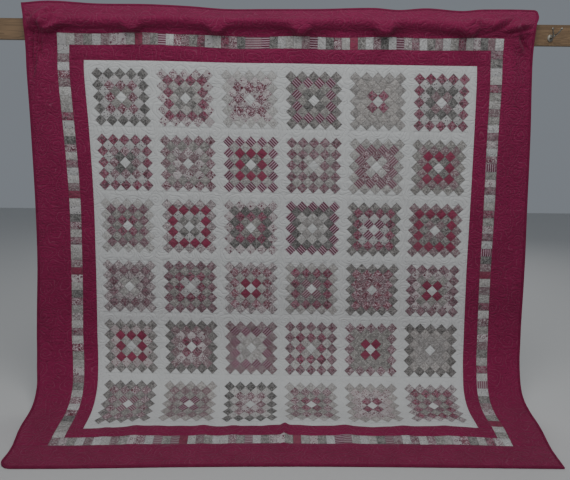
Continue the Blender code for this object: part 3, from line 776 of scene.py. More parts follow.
def quilting(finish, flat, depth, crumpled=1.0):
    """A stitched line's share of the colour, and the cloth's surface round it."""
    away = swirls(finish, flat)
    showing = finish.noise(flat, 24.0, 2.0).smooth(0.28, 0.58)
    thread = (1.0 - away.smooth(*STITCH_EDGES)) * showing
    long_creases = finish.noise(finish.stretched(flat, 24.0, 70.0, 1.0), 1.0, 1.0, 1.0)
    wrinkles = finish.noise(finish.stretched(flat, 38.0, 110.0, 1.0), 1.0, 2.0, 0.8)
    surface = None
    for height, rise, strength in (
        (away.smooth(0.0, DITCH_EDGE), depth, 1.0),
        (abs(long_creases - 0.5).smooth(0.0, 0.09), CREASE_RISE * (crumpled - 1.0), 0.8),
        (wrinkles, depth * 1.6 * crumpled, 0.8),
        (finish.noise(flat, 160.0, 3.0), 0.0009 * crumpled, 0.6),
        (weave_height(finish, flat), THREAD_RISE, 0.5),
    ):
        surface = finish.bump(height, rise, strength, surface)
    return thread, surface


def plain_cotton(name, dye, thread_share, depth):
    """Plain dyed cotton, quilted."""
    finish = Finish(name, roughness=0.75, gloss=0.18, sheen=0.08)
    flat = flat_cloth(finish)
    thread, normal = quilting(finish, flat, depth, crumpled=2.4)
    tone = finish.noise(flat, 7.0, 4.0).smooth(0.25, 0.75)
    fine = finish.noise(flat, 900.0, 2.0)
    shade = finish.mix(tone * 0.6 + fine * 0.4, tinted(dye, 0.86), tinted(dye, 1.10))
    shade = finish.mix(thread * thread_share, shade, bpy.context.scene.quilt_colours.thread)
    # Darker near a seam: painted shade in the seam's ditch.
    seam = 1.0 - finish.attribute("seam").smooth(0.0, SEAM_SHADE)
    return finish.finish(colour=finish.mix(seam * 0.25, shade, tinted(dye, 0.35)), normal=normal)


def patch_cotton(name):
    """The white ground and the printed patches, from the attributes of their faces."""
    finish = Finish(name, roughness=0.95, gloss=0.10, sheen=0.03)
    flat = flat_cloth(finish)
    kind, lines = finish.attribute("kind", 1), finish.attribute("lines", 1)
    patch, ink = finish.attribute("patch"), finish.attribute("ink")
    start = finish.vector(patch * 3.17, patch * 7.31, patch * 1.7)
    moved = finish.vector_maths("ADD", {0: flat, 1: start})

    # The prints: sprigs of blossoms and leaves, specks, stripes, rings and scrolls.
    blossoms = finish.noise(moved, 88.0, 2.0, 1.4).smooth(0.50, 0.54)
    leaves = finish.noise(moved, 170.0, 1.0, 0.8).smooth(0.57, 0.61)
    floral = blossoms.most(leaves * 0.7)
    speck = 1.0 - finish.cells(moved, 105.0, 0.85).smooth(0.19, 0.29)
    way = finish.attribute("stripe_way", 1)
    along = finish.vector_maths("DOT_PRODUCT", {0: flat, 1: way}, output=1)
    stripe = (along * (ONE_TURN / STRIPE)).sine().smooth(-0.10, 0.30)
    push = finish.vector_maths(
        "SCALE", {0: finish.noise(moved, 80.0, output=1), "Scale": 0.006}
    )
    rounds = finish.cells(finish.vector_maths("ADD", {0: moved, 1: push}), 58.0, 0.8)
    rings = 1.0 - abs(rounds - 0.34).smooth(0.03, 0.08).least(rounds.smooth(0.05, 0.10))
    swaying = (finish.noise(moved, 46.0, 0.5, 0.6) * 7.0).fraction()
    scroll = 1.0 - abs(swaying - 0.5).smooth(0.10, 0.20)
    printed = floral * finish.part(kind, 0)
    for motif, share in (
        (speck, finish.part(kind, 1)), (stripe, finish.part(kind, 2)),
        (rings, finish.part(lines, 0)), (scroll, finish.part(lines, 1)),
    ):
        printed = printed.most(motif * share)
    shade = finish.mix(printed, finish.attribute("ground", 1), finish.attribute("print", 1))
    marks = finish.noise(moved, 78.0, 2.0, 1.0).smooth(0.53, 0.59)
    shade = finish.mix(marks * ink, shade, THIRD_INK)

    # Each patch a little lighter or darker, all of it a little worn, then the thread, and painted
    # shade along the seams.
    chance = finish.node("ShaderNodeTexWhiteNoise", {"noise_dimensions": "1D"}, {"W": patch})
    shade = finish.vector_maths("SCALE", {0: shade, "Scale": 0.90 + chance * 0.20})
    worn = finish.noise(flat, 9.0, 4.0).smooth(0.25, 0.75)
    shade = finish.mix(worn * 0.10, shade, WORN_CLOTH)
    thread, normal = quilting(finish, flat, 0.0011)
    shade = finish.mix(thread * 0.05, shade, PATCH_THREAD)
    # Darker near a seam, more so on inked prints: painted shade in the seam's ditch.
    seam = 1.0 - finish.attribute("seam").smooth(0.0, PATCH_SEAM_SHADE)
    shade = finish.mix(seam * (0.25 + ink * 0.5), shade, SEAM_SHADE_COLOUR)
    return finish.finish(colour=shade, normal=normal)


def binding_cotton(name, dye):
    """The binding's plain cotton, crumpled along its fold."""
    finish = Finish(name, roughness=0.95, gloss=0.10, sheen=0.03)
    flat = flat_cloth(finish)
    tone = finish.noise(flat, 30.0, 3.0).smooth(0.25, 0.75)
    fine = finish.noise(flat, 900.0, 2.0)
    shade = finish.mix(tone * 0.7 + fine * 0.3, tinted(dye, 0.8), tinted(dye, 1.15))
    surface = finish.bump(finish.noise(flat, 260.0, 3.0), 0.0008, 0.6)
    normal = finish.bump(weave_height(finish, flat), THREAD_RISE, 0.5, surface)
    return finish.finish(colour=shade, normal=normal)


def pine(name, wood):
    """Varnished pine with its grain along the rail."""
    finish = Finish(name, roughness=0.45, coat=0.25)
    finish.shader.inputs["Coat Roughness"].default_value = 0.25
    place = finish.node("ShaderNodeTexCoord", output=3)
    rings = finish.noise(finish.stretched(place, 1.0, 14.0, 14.0), 2.2, 2.0, 1.2)
    fibre = finish.noise(finish.stretched(place, 6.0, 400.0, 400.0), 3.0, 3.0)
    grain = (rings * 9.0).fraction().smooth(0.0, 1.0)
    shade = finish.mix(grain * 0.75 + fibre * 0.25, tinted(wood, 1.12), tinted(wood, 0.66))
    # The top and bottom edges are painted darker: painted shade, with some dirt.
    edges = abs(finish.part(place, 2)).smooth(*RAIL_EDGE_SHADE_AND_DIRT)
    return finish.finish(
        colour=finish.mix(edges * 0.45, shade, tinted(wood, 0.30)),
        roughness=0.40 + fibre * 0.15, normal=finish.bump(fibre, 0.0002, 0.4),
    )


def cast_metal(name, metal):
    """Dull pale metal with a fine cast skin and rubbed high spots."""
    finish = Finish(name, roughness=0.38, metallic=1.0)
    place = finish.node("ShaderNodeTexCoord", output=3)
    skin = finish.noise(place, 900.0, 3.0)
    stain = finish.noise(place, 60.0, 3.0).smooth(0.35, 0.75)
    return finish.finish(
        colour=finish.mix(stain * 0.5, metal, tinted(metal, 0.62)),
        roughness=0.30 + stain * 0.22, normal=finish.bump(skin, 0.0002, 0.35),
    )


def material(name):
    """A finish by its name, made the first time it is asked for."""
    colours = bpy.context.scene.quilt_colours
    makers = {
        # name: what makes it, and from what
        "border_cotton": (plain_cotton, colours.border, 0.24, 0.0011),
        "backing_cotton": (plain_cotton, colours.backing, 0.20, 0.0024),
        "patch_cotton": (patch_cotton,),
        "binding_cotton": (binding_cotton, colours.binding),
        "varnished_pine": (pine, colours.wood),
        "cast_metal": (cast_metal, colours.metal),
    }
    make, *values = makers[name]
    return bpy.data.materials.get(name) or make(name, *values)


# ---- Making cloth ----
def cuts(low, high, marks, spacing):
    """The places between low and high where cloth is divided, every mark among them."""
    stops = sorted({low, high, *[m for m in marks if low < m < high]})
    places = [low]
    for start, end in zip(stops, stops[1:]):
        count = max(1, round((end - start) / spacing))
        places += [start + (end - start) * k / count for k in range(1, count + 1)]
    return np.array(places)


def crossings(across_cuts, down_cuts):
    """Where the cuts across and down meet, row by row."""
    down, across = np.meshgrid(down_cuts, across_cuts, indexing="ij")
    return across, down


def middles(places):
    """Halfway between each place and the next."""
    return (places[1:] + places[:-1]) / 2


def show(name, data):
    """A new object of the scene."""
    thing = bpy.data.objects.new(name, data)
    bpy.context.scene.collection.objects.link(thing)
    return thing


def corner_points(mesh):
    """The number of the point at each corner of each face."""
    corners = np.zeros(len(mesh.loops), np.int32)
    mesh.loops.foreach_get("vertex_index", corners)
    return corners


def set_attribute(mesh, name, domain, values):
    """Give a mesh an attribute: a number or a vector for each face or point."""
    values = np.asarray(values, np.float32)
    kind, field = ("FLOAT", "value") if values.ndim == 1 else ("FLOAT_VECTOR", "vector")
    mesh.attributes.new(name, kind, domain).data.foreach_set(field, values.ravel())


def cloth_object(name, across, down, front, faces):
    """An object of cloth: its points flat and how far in front, draped, and its flat map."""
    mesh = bpy.data.meshes.new(name)
    mesh.from_pydata(drape(across, down, front).tolist(), [], faces)
    flat = np.stack([across + HALF_WIDTH, LENGTH - down], axis=1)[corner_points(mesh)]
    layer = mesh.uv_layers.new(name=FLAT_MAP)
    layer.data.foreach_set("uv", flat.ravel().astype(np.float32))
    return show(name, mesh)


def rim_faces(front, back, marks, turned):
    """The faces of one edge, from a line of front points to the coarser line of the back."""
    faces = []
    for k, (start, end) in enumerate(zip(marks, marks[1:])):
        face = [*front[start:end + 1], back[k + 1], back[k]]
        faces.append(face[::-1] if turned else face)
    return faces


def slab(name, across_cuts, down_cuts, seam, diagonals=None, coarse=1):
    """A closed piece of cloth: its front divided by the cuts, its back by every coarse-th one."""
    rows, columns = len(down_cuts), len(across_cuts)
    across, down = crossings(across_cuts, down_cuts)
    back_rows = sorted({*range(0, rows, coarse), rows - 1})
    back_columns = sorted({*range(0, columns, coarse), columns - 1})
    back_across, back_down = crossings(across_cuts[back_columns], down_cuts[back_rows])
    front = np.arange(rows * columns).reshape(rows, columns)
    back = front.size + np.arange(back_down.size).reshape(back_down.shape)
    if diagonals is None:
        diagonals = np.full((rows - 1, columns - 1), None)

    faces = []
    for (r, c), diagonal in np.ndenumerate(diagonals):
        a, b, d, e = front[r:r + 2, c:c + 2].ravel().tolist()
        if diagonal is None:
            faces.append((a, d, e, b))
        elif diagonal:
            faces += [(a, d, e), (a, e, b)]
        else:
            faces += [(a, d, b), (b, d, e)]
    fronts = len(faces)
    for r, c in np.ndindex(len(back_rows) - 1, len(back_columns) - 1):
        a, b, d, e = back[r:r + 2, c:c + 2].ravel().tolist()
        faces.append((a, b, e, d))
    for line, turned in ((0, False), (-1, True)):
        faces += rim_faces(front[line].tolist(), back[line].tolist(), back_columns, turned)
        lines = front[:, line].tolist(), back[:, line].tolist()
        faces += rim_faces(*lines, back_rows, not turned)

    high = np.concatenate([
        (CLOTH / 2 + relief(across, down, seam)).ravel(), np.full(back.size, -CLOTH / 2)
    ])
    all_across = np.concatenate([across.ravel(), back_across.ravel()])
    all_down = np.concatenate([down.ravel(), back_down.ravel()])
    cloth = cloth_object(name, all_across, all_down, high, faces)
    distance = np.concatenate([seam.ravel(), np.full(back.size, FAR_FROM_SEAMS)])
    set_attribute(cloth.data, "seam", "POINT", distance)
    cloth.data.polygons.foreach_set("material_index", [0] * fronts + [1] * (len(faces) - fronts))
    return cloth


def fabric_faces(mesh, names, patches, ways):
    """Give each front face its fabric, its patch's number and the way its stripes run."""
    blank = len(mesh.polygons) - len(names)
    plain = ((0.5,) * 3, (0.5,) * 3, 0.0, 0.0, 0.0, 0.0, 0.0)
    rows = [FABRICS[name] for name in names] + [plain] * blank
    padding = np.zeros(blank)
    for name, values in (
        ("ground", [row[0] for row in rows]),
        ("print", [row[1] for row in rows]),
        ("kind", [row[2:5] for row in rows]),
        ("lines", [(row[5], row[6], row[6]) for row in rows]),
        ("ink", [DARK_INK.get(name, 0.0) for name in names] + [0.0] * blank),
        ("patch", np.concatenate([patches, padding])),
        ("stripe_way", np.concatenate([ways, np.zeros((blank, 3))])),
    ):
        set_attribute(mesh, name, "FACE", values)


def finish_cloth(cloth, materials, node, crease=60.0):
    """Shade a cloth piece, give it its materials and let it stand for its node of the solids."""
    for name in materials:
        cloth.data.materials.append(material(name))
    shade_round(cloth, crease)
    ride_for(cloth, node)


def ride_for(piece, node):
    """Let a piece stand for a node of the solids."""
    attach(piece, "root")
    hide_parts(node)


def select_only(thing):
    """Select one object and make it the active one."""
    bpy.ops.object.select_all(action="DESELECT")
    thing.select_set(True)
    bpy.context.view_layer.objects.active = thing


def shade_round(thing, angle):
    """Shade a piece smooth, apart from edges steeper than an angle in degrees."""
    select_only(thing)
    bpy.ops.object.shade_smooth_by_angle(angle=radians(angle))
    thing.select_set(False)


# ---- The field of blocks ----
def field_cuts(pitch, start):
    """The cuts through the field: its margins, its blocks and the white between them."""
    half = HALF_DIAGONAL * pitch
    gap = pitch * (1 - PATCH_CELLS * HALF_DIAGONAL)
    margin = pitch * (FIELD_MARGIN - PATCH_CELLS * HALF_DIAGONAL / 2)
    places = [margin * k / GAP_CELLS for k in range(GAP_CELLS)]
    for block in range(BLOCKS):
        first = margin + block * pitch
        places += [first + half * k / FINE for k in range(PATCH_CELLS * FINE)]
        end = first + PATCH_CELLS * half
        if block < BLOCKS - 1:
            places += [end + gap * k / GAP_CELLS for k in range(GAP_CELLS)]
    places += [end + margin * k / GAP_CELLS for k in range(GAP_CELLS + 1)]
    return np.array(places) + start


def block_places(at, pitch, start):
    """Which block each place is in, and how many half diagonals it is from the middle."""
    middle = start + pitch * FIELD_MARGIN
    block = np.clip(np.round((at - middle) / pitch), 0, BLOCKS - 1)
    return block, (at - middle - block * pitch) / (HALF_DIAGONAL * pitch)


def patch_of(x, y):
    """The lattice point that a point's patch is centred on, in half diagonals."""
    p, q = np.round((x + y) / 2), np.round((x - y) / 2)
    return p + q, p - q


def build_field():
    """The quilted field of 36 blocks, each of 41 squares on point."""
    cell = HALF_DIAGONAL * PITCH_ACROSS
    across_cuts = field_cuts(PITCH_ACROSS, -HALF_FIELD)
    down_cuts = field_cuts(PITCH_DOWN, ALL_BORDERS)
    across, down = crossings(across_cuts, down_cuts)
    x = block_places(across, PITCH_ACROSS, -HALF_FIELD)[1]
    y = block_places(down, PITCH_DOWN, ALL_BORDERS)[1]

    # The nearest seam: a patch's side in a block, or the block's edge or the border outside it.
    m, n = patch_of(x, y)
    to_side = np.maximum(1 - np.abs(x - m) - np.abs(y - n), 0) / 2 ** 0.5 * cell
    out = np.maximum(np.abs(x), np.abs(y)) - PATCH_CELLS / 2
    ends = np.minimum(down - ALL_BORDERS, LENGTH - ALL_BORDERS - down)
    to_border = np.maximum(np.minimum(HALF_FIELD - np.abs(across), ends), 0)
    seam = np.minimum(np.where(out > 0, out * cell, to_side), to_border)

    # A square of the cuts is split along the side of the patch that crosses it.
    column = block_places(middles(across_cuts), PITCH_ACROSS, -HALF_FIELD)[1]
    row = block_places(middles(down_cuts), PITCH_DOWN, ALL_BORDERS)[1]
    diagonals = (np.floor(row)[:, None] + np.floor(column)[None, :]) % 2 == 1
    field = slab("patch_field", across_cuts, down_cuts, seam, diagonals, coarse=FINE)

    # Each triangle's block, and its patch's place in it, give its fabric.
    triangles = corner_points(field.data)[:diagonals.size * 6].reshape(-1, 3)
    middle = np.stack([across.ravel(), down.ravel()], axis=1)[triangles].mean(axis=1)
    block_row, y = block_places(middle[:, 1], PITCH_DOWN, ALL_BORDERS)
    block_column, x = block_places(middle[:, 0], PITCH_ACROSS, -HALF_FIELD)
    m, n = patch_of(x, y)
    ring = np.maximum(np.abs(m), np.abs(n)).astype(int)
    block = block_row * BLOCKS + block_column
    chart = [rings.split() for rings in BLOCK_CHART]
    names = [
        "white" if k == 0 or k > RINGS else chart[b][RINGS - k]
        for b, k in zip(block.astype(int), ring)
    ]

    # Each patch has its own number, which moves its print and shades it, and its stripes' way.
    number = (block * 121 + (m + 5) * 11 + n + 5) % 997 / 10
    turned = (np.abs(m) > np.abs(n)) == ((block_row + block_column) % 2 == 0)
    ways = np.stack([np.ones(len(m)), np.where(turned, 1, -1), np.zeros(len(m))], axis=1)
    fabric_faces(field.data, names, np.where(ring > RINGS, 0.0, number), ways * SLANT)
    finish_cloth(
        field, ("patch_cotton", "backing_cotton"), "centre_field",
    )


# ---- The borders ----
def strips(outer, inner):
    """A border's four strips on the flat quilt: side, low corner, high corner."""
    left, right, bottom = -HALF_WIDTH + outer, HALF_WIDTH - outer, LENGTH - outer
    return (
        ("top", (left, outer), (right, inner)),
        ("bottom", (left, LENGTH - inner), (right, bottom)),
        ("left", (left, inner), (-HALF_WIDTH + inner, LENGTH - inner)),
        ("right", (HALF_WIDTH - inner, inner), (right, LENGTH - inner)),
    )


def seam_distance(across, down, low, high):
    """How far the nearest side of a strip is, and nothing along the quilt's own edge."""
    distance = np.minimum(
        np.minimum(across - low[0], high[0] - across), np.minimum(down - low[1], high[1] - down)
    )
    return np.where(to_edge(across, down) < ON_EDGE, 0.0, np.maximum(distance, 0.0))


def build_plain_border(name, outer, inner):
    """One plain border's four strips."""
    grid = bpy.context.scene.quilt_sizes.grid
    for side, low, high in strips(outer, inner):
        across_cuts = cuts(low[0], high[0], BINDING_ACROSS, grid)
        down_cuts = cuts(low[1], high[1], BINDING_DOWN, grid)
        seam = seam_distance(*crossings(across_cuts, down_cuts), low, high)
        strip = slab(f"{name}_cloth_{side}", across_cuts, down_cuts, seam, coarse=2)
        finish_cloth(
            strip, ("border_cotton", "backing_cotton"), f"{name}_{side}",
        )


def build_pieced_border():
    """The border of small printed patches, with its four strips."""
    grid = bpy.context.scene.quilt_sizes.grid
    sides = strips(OUTER_BORDER, OUTER_BORDER + PIECED_BORDER)
    for place, (side, low, high) in enumerate(sides):
        names = PIECED_CHART[side].split()
        along = 0 if side in ("top", "bottom") else 1
        shares = np.interp(range(len(names) + 1), *np.transpose(PIECED_SEAMS[side]))
        joins = low[along] + (high[along] - low[along]) * shares
        across_cuts, down_cuts = (
            cuts(low[axis], high[axis], joins if axis == along else (), grid) for axis in (0, 1)
        )
        at = crossings(across_cuts, down_cuts)
        seam = seam_distance(*at, low, high)
        for join in joins[1:-1]:
            seam = np.minimum(seam, np.abs(at[along] - join))
        strip = slab(f"pieced_border_cloth_{side}", across_cuts, down_cuts, seam, coarse=3)
        cell = crossings(middles(across_cuts), middles(down_cuts))[along].ravel()
        patch = np.clip(np.searchsorted(joins, cell, side="right") - 1, 0, len(names) - 1)
        ways = [(0.0, 1.0, 0.0) if along == 0 else (1.0, 0.0, 0.0)] * len(patch)
        numbers = (patch + place * 60) * 1.37 % 97
        fabric_faces(strip.data, [names[k] for k in patch], numbers, ways)
        finish_cloth(
            strip, ("patch_cotton", "backing_cotton"), f"pieced_border_{side}",
        )


# ---- The binding ----
def binding_section():
    """The folded strip's section: how far in from the edge, and how high, for each point."""
    nose = BINDING_GAP + BINDING_CLOTH
    fold = [
        (-nose * sin(turn), BINDING_OUTSIDE * cos(turn))
        for turn in (radians(18.0 * k) for k in range(11))
    ]
    front = [
        (BINDING_WIDTH, CLOTH / 2),
        (BINDING_WIDTH - 0.0002, CLOTH / 2 + 0.0005),
        (BINDING_WIDTH - 0.0010, BINDING_OUTSIDE - 0.0002),
        (BINDING_WIDTH * 0.6, BINDING_OUTSIDE + 0.0001),
    ]
    back = [(inward, -height) for inward, height in reversed(front)]
    hollow = [(0.0, 0.0001 - CLOTH / 2), (0.0, CLOTH / 2 - 0.0001)]
    return np.array(front + fold + back + hollow)


def build_binding():
    """The binding's four strips, mitred at the corners."""
    inward, height = binding_section().T
    count = len(inward)
    grid = bpy.context.scene.quilt_sizes.grid
    across_cuts = cuts(-HALF_WIDTH, HALF_WIDTH, BINDING_ACROSS, grid)
    down_cuts = cuts(0.0, LENGTH, BINDING_DOWN, grid)
    for side, stations, place in (
        # side, cuts along it, how a place along it and inward lies on the quilt
        ("top", across_cuts, lambda along, into: (along, into)),
        ("bottom", across_cuts, lambda along, into: (along, LENGTH - into)),
        ("left", down_cuts, lambda along, into: (-HALF_WIDTH + into, along)),
        ("right", down_cuts, lambda along, into: (HALF_WIDTH - into, along)),
    ):
        reach = inward + MITRE_GAP
        along = np.clip(stations[:, None], stations[0] + reach, stations[-1] - reach)
        across, down = place(along, np.broadcast_to(inward, along.shape))
        front = np.broadcast_to(height, along.shape)
        number = np.arange(along.size).reshape(along.shape)
        after = np.roll(number, -1, axis=1)
        around = np.stack([number[:-1], after[:-1], after[1:], number[1:]], axis=-1)
        faces = [*around.reshape(-1, 4).tolist(), number[0].tolist(), number[-1].tolist()]
        strip = cloth_object(
            f"folded_binding_{side}", across.ravel(), down.ravel(), front.ravel(), faces
        )
        tidy_mesh(strip)
        finish_cloth(
            strip, ("binding_cotton",), f"binding_{side}",
            crease=50.0,
        )


def tidy_mesh(thing):
    """Merge doubles and point the faces outwards."""
    select_only(thing)
    bpy.ops.object.mode_set(mode="EDIT")
    bpy.ops.mesh.select_all(action="SELECT")
    bpy.ops.mesh.remove_doubles(threshold=DOUBLES)
    bpy.ops.mesh.dissolve_degenerate(threshold=DOUBLES)
    bpy.ops.mesh.normals_make_consistent(inside=False)
    bpy.ops.object.mode_set(mode="OBJECT")


# ---- The rail and the hooks ----
PLATE_BACK = -RAIL_THICKNESS - ROOT_GAP
STEM = (
    # x from the hook's middle, y, z, radius
    (0.0, PLATE_BACK - 0.001, -PLATE_DROP, 0.0062),
    (0.0, -0.0245, -0.0122, 0.0048),
    (0.0, -0.0330, -0.0126, 0.0042),
    (0.0, -0.0430, -0.0118, 0.0042),
    (0.0, -0.0530, -0.0085, 0.0050),
)
PRONG = (
    (0.0050, -0.0630, -0.0045, 0.0036),
    (0.0100, -0.0735, 0.0008, 0.0032),
    (0.0150, -0.0812, 0.0085, 0.0029),
    (0.0180, -0.0858, 0.0150, 0.0026),
)
PRONG_WAY = (0.42, -0.50, 0.75)           # the way that a knob points
PLATE_BEVEL = 0.0009
PLATE_STEPS = ((0.0022, 0.0), (0.0012, 0.0007))     # each inset of the plate's face, and its rise
SCREW_SINK = 0.0005
SCREW_HOLLOW = (0.0001, 0.0006)           # inset, depth
COLLAR = (0.0027, 0.0010)                 # radius, and the radius of its ring
COLLAR_GAP = 0.0004
TIP_REACH = 0.0006
TIP_FROM, NECK_FROM = 0.75, -0.55         # a knob's two ends begin there, in radii
KNOB_TAPER = (0.8, 0.8, 0.8)
SCREW_FLATTENED = (1.0, 0.55, 1.0)


def build_rail():
    """The rail keeps its solid's shape and gets its wood."""
    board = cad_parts["rail"]
    board.data.materials.clear()
    board.data.materials.append(material("varnished_pine"))


def build_hooks():
    """One forked hook, modelled at its place and copied along the rail."""
    pieces = [hook_plate(), *hook_screws(), hook_arms(), *hook_knobs()]
    select_only(pieces[0])
    for piece in pieces:
        piece.select_set(True)
    bpy.ops.object.join()
    hook = placed()
    shade_round(hook, 40.0)
    hook.data.materials.clear()
    hook.data.materials.append(material("cast_metal"))
    for number in range(1, HOOKS + 1):
        name, copy = f"forked_hook_{number}", hook
        if number < HOOKS:
            copy = show(name, hook.data.copy())
            copy.data.transform(Matrix.Translation(((number - HOOKS) * HOOK_PITCH, 0.0, 0.0)))
        copy.name = name
        ride_for(copy, f"hook_{number}")


def placed():
    """The active object, its place and turn moved into its mesh."""
    bpy.ops.object.transform_apply(location=True, rotation=True, scale=True)
    return bpy.context.object


def choose(thing, wanted):
    """In edit mode's face select, select the faces whose middle and normal are wanted."""
    bpy.ops.object.mode_set(mode="EDIT")
    bpy.ops.mesh.select_mode(type="FACE")
    bpy.ops.mesh.select_all(action="DESELECT")
    bpy.ops.object.mode_set(mode="OBJECT")
    for face in thing.data.polygons:
        face.select = bool(wanted(face.center, face.normal))
    bpy.ops.object.mode_set(mode="EDIT")


def hook_plate():
    """The oval back plate, with a rounded rim and a raised middle."""
    bpy.ops.mesh.primitive_cylinder_add(
        vertices=40, radius=PLATE_RADIUS, depth=PLATE_THICKNESS, rotation=(pi / 2, 0.0, 0.0),
        location=(LAST_HOOK, PLATE_BACK - PLATE_THICKNESS / 2, -PLATE_DROP),
    )
    plate = placed()
    choose(plate, lambda middle, normal: True)
    bpy.ops.transform.resize(value=(1.0, 1.0, PLATE_OVAL))
    choose(plate, lambda middle, normal: normal.y < -0.9)
    bpy.ops.mesh.bevel(offset=PLATE_BEVEL, segments=3)
    choose(plate, lambda middle, normal: normal.y < -0.99)
    for inset, rise in PLATE_STEPS:
        bpy.ops.mesh.inset(thickness=inset, depth=rise)
    bpy.ops.object.mode_set(mode="OBJECT")
    return plate


def hook_screws():
    """The two screws of a plate, each a low domed head with a hollow in its middle."""
    screws = []
    for side in (-1, 1):
        bpy.ops.mesh.primitive_uv_sphere_add(
            segments=16, ring_count=8, radius=SCREW_RADIUS, rotation=(pi / 2, 0.0, 0.0),
            location=(
                LAST_HOOK, PLATE_BACK - PLATE_THICKNESS - SCREW_SINK,
                -PLATE_DROP + side * SCREW_PLACE,
            ),
        )
        screw = placed()
        choose(screw, lambda middle, normal: True)
        bpy.ops.transform.resize(value=SCREW_FLATTENED)
        choose(screw, lambda middle, normal: normal.y < -0.97)
        bpy.ops.mesh.inset(thickness=SCREW_HOLLOW[0], depth=-SCREW_HOLLOW[1])
        bpy.ops.object.mode_set(mode="OBJECT")
        screws.append(screw)
    return screws


def grow(last, points, side=1):
    """Extrude a line of points from the one that is selected, and give back their radii."""
    last = Vector(last[:3])
    for x, y, z, _ in points:
        place = Vector((side * x, y, z))
        bpy.ops.mesh.extrude_region_move(TRANSFORM_OT_translate={"value": place - last})
        last = place
    return [point[3] for point in points]


def hook_arms():
    """The stem and its two prongs, grown from a line of points into one rounded casting."""
    bpy.ops.mesh.primitive_plane_add(size=0.01, location=(LAST_HOOK, *STEM[0][1:3]))
    arms = placed()
    bpy.ops.object.mode_set(mode="EDIT")
    bpy.ops.mesh.select_mode(type="VERT")
    bpy.ops.mesh.select_all(action="SELECT")
    bpy.ops.mesh.merge(type="CENTER")
    radii = [STEM[0][3], *grow(STEM[0], STEM[1:])]
    for side in (-1, 1):
        bpy.ops.object.mode_set(mode="OBJECT")
        for vertex in arms.data.vertices:
            vertex.select = vertex.index == len(STEM) - 1
        bpy.ops.object.mode_set(mode="EDIT")
        bpy.ops.mesh.select_mode(type="VERT")
        radii += grow(STEM[-1], PRONG, side)
    bpy.ops.object.mode_set(mode="OBJECT")
    bpy.ops.object.modifier_add(type="SKIN")
    for place, radius in zip(arms.data.skin_vertices[0].data, radii):
        place.radius = (radius, radius)
    bpy.ops.object.modifier_add(type="SUBSURF")
    arms.modifiers[-1].levels = arms.modifiers[-1].render_levels = 2
    for name in [modifier.name for modifier in arms.modifiers]:
        bpy.ops.object.modifier_apply(modifier=name)
    return arms


def hook_knobs():
    """The cast ends of the prongs: a collar, and a knob drawn out to a blunt tip."""
    knobs = []
    for side in (-1, 1):
        way = Vector((side * PRONG_WAY[0], *PRONG_WAY[1:])).normalized()
        turn = way.to_track_quat("Z", "Y").to_euler()
        middle = Vector((LAST_HOOK + side * KNOB_SPREAD, -KNOB_REACH, KNOB_RISE))
        bpy.ops.mesh.primitive_uv_sphere_add(
            segments=24, ring_count=14, radius=KNOB_RADIUS, location=middle, rotation=turn,
        )
        knob = placed()
        choose(knob, lambda place, normal: (place - middle).dot(way) > TIP_FROM * KNOB_RADIUS)
        bpy.ops.transform.translate(value=way * TIP_REACH)
        bpy.ops.transform.resize(value=KNOB_TAPER)
        choose(knob, lambda place, normal: (place - middle).dot(way) < NECK_FROM * KNOB_RADIUS)
        bpy.ops.transform.resize(value=KNOB_TAPER)
        bpy.ops.object.mode_set(mode="OBJECT")
        bpy.ops.mesh.primitive_torus_add(
            major_segments=24, minor_segments=10, major_radius=COLLAR[0], minor_radius=COLLAR[1],
            location=middle - way * (KNOB_RADIUS + COLLAR_GAP), rotation=turn,
        )
        knobs += [knob, placed()]
    return knobs


# ---- The stage ----
CAMERA_PLACE = (-0.009, -2.873, -0.414)
CAMERA_LENS = 40.36
CAMERA_TURN = (9.76, 0.47, 0.64)          # down, to the right and rolled, in degrees
SENSOR_WIDTH = 36.0
FLOOR_SIZE = 14.0
FLOOR_GAP = 0.0005
SURROUND = (0.77, 0.84, 0.93)
SURROUND_STRENGTH = 0.24
LIGHTS = (
    # name, place, aims at, size, watts
    ("ceiling", (0.2, -2.3, 2.45), (0.0, -0.3, -0.8), 3.0, 91.0),
    ("front", (-1.0, -4.5, -0.1), (0.0, 0.0, -0.8), 2.5, 21.0),
    ("behind", (0.8, 3.6, 1.2), (0.0, 0.0, -0.7), 2.5, 34.0),
)


def build_stage():
    """The floor, the lights and the camera."""
    bpy.ops.mesh.primitive_plane_add(
        size=FLOOR_SIZE, location=(0.0, 0.0, -RAIL_HEIGHT - FLOOR_GAP)
    )
    floor = bpy.context.object
    floor.name = "floor"
    finish = Finish("plain_floor", roughness=0.6)
    floor.data.materials.append(finish.finish(colour=bpy.context.scene.quilt_colours.floor))

    world = bpy.data.worlds.new("soft_surround")
    bpy.context.scene.world = world
    world.use_nodes = True
    surround = world.node_tree.nodes["Background"].inputs
    surround["Color"].default_value = (*SURROUND, 1.0)
    surround["Strength"].default_value = SURROUND_STRENGTH
    for name, place, aim, size, watts in LIGHTS:
        light = bpy.data.lights.new(name, "AREA")
        light.size = size
        light.energy = watts
        lamp = show(name, light)
        lamp.location = place
        lamp.rotation_euler = (Vector(aim) - Vector(place)).to_track_quat("-Z", "Y").to_euler()

    dip, yaw, roll = (radians(angle) for angle in CAMERA_TURN)
    ahead = Vector((sin(yaw) * cos(dip), cos(yaw) * cos(dip), -sin(dip)))
    level = Vector((cos(yaw), -sin(yaw), 0.0))
    up = level.cross(ahead)
    right = level * cos(roll) + up * sin(roll)
    upright = up * cos(roll) - level * sin(roll)
    camera = show("camera", bpy.data.cameras.new("camera"))
    camera.data.lens = CAMERA_LENS
    camera.data.sensor_width = SENSOR_WIDTH
    turn = Matrix((right, upright, -ahead)).transposed()
    camera.matrix_world = Matrix.Translation(CAMERA_PLACE) @ turn.to_4x4()
    bpy.context.scene.camera = camera


# ---- Operators ----
class QUILT_OT_field(bpy.types.Operator):
    """Make the quilted field of 36 blocks"""

    bl_idname = "quilt.field"
    bl_label = "Field of blocks"

    def execute(self, context):
        build_field()
        return {"FINISHED"}


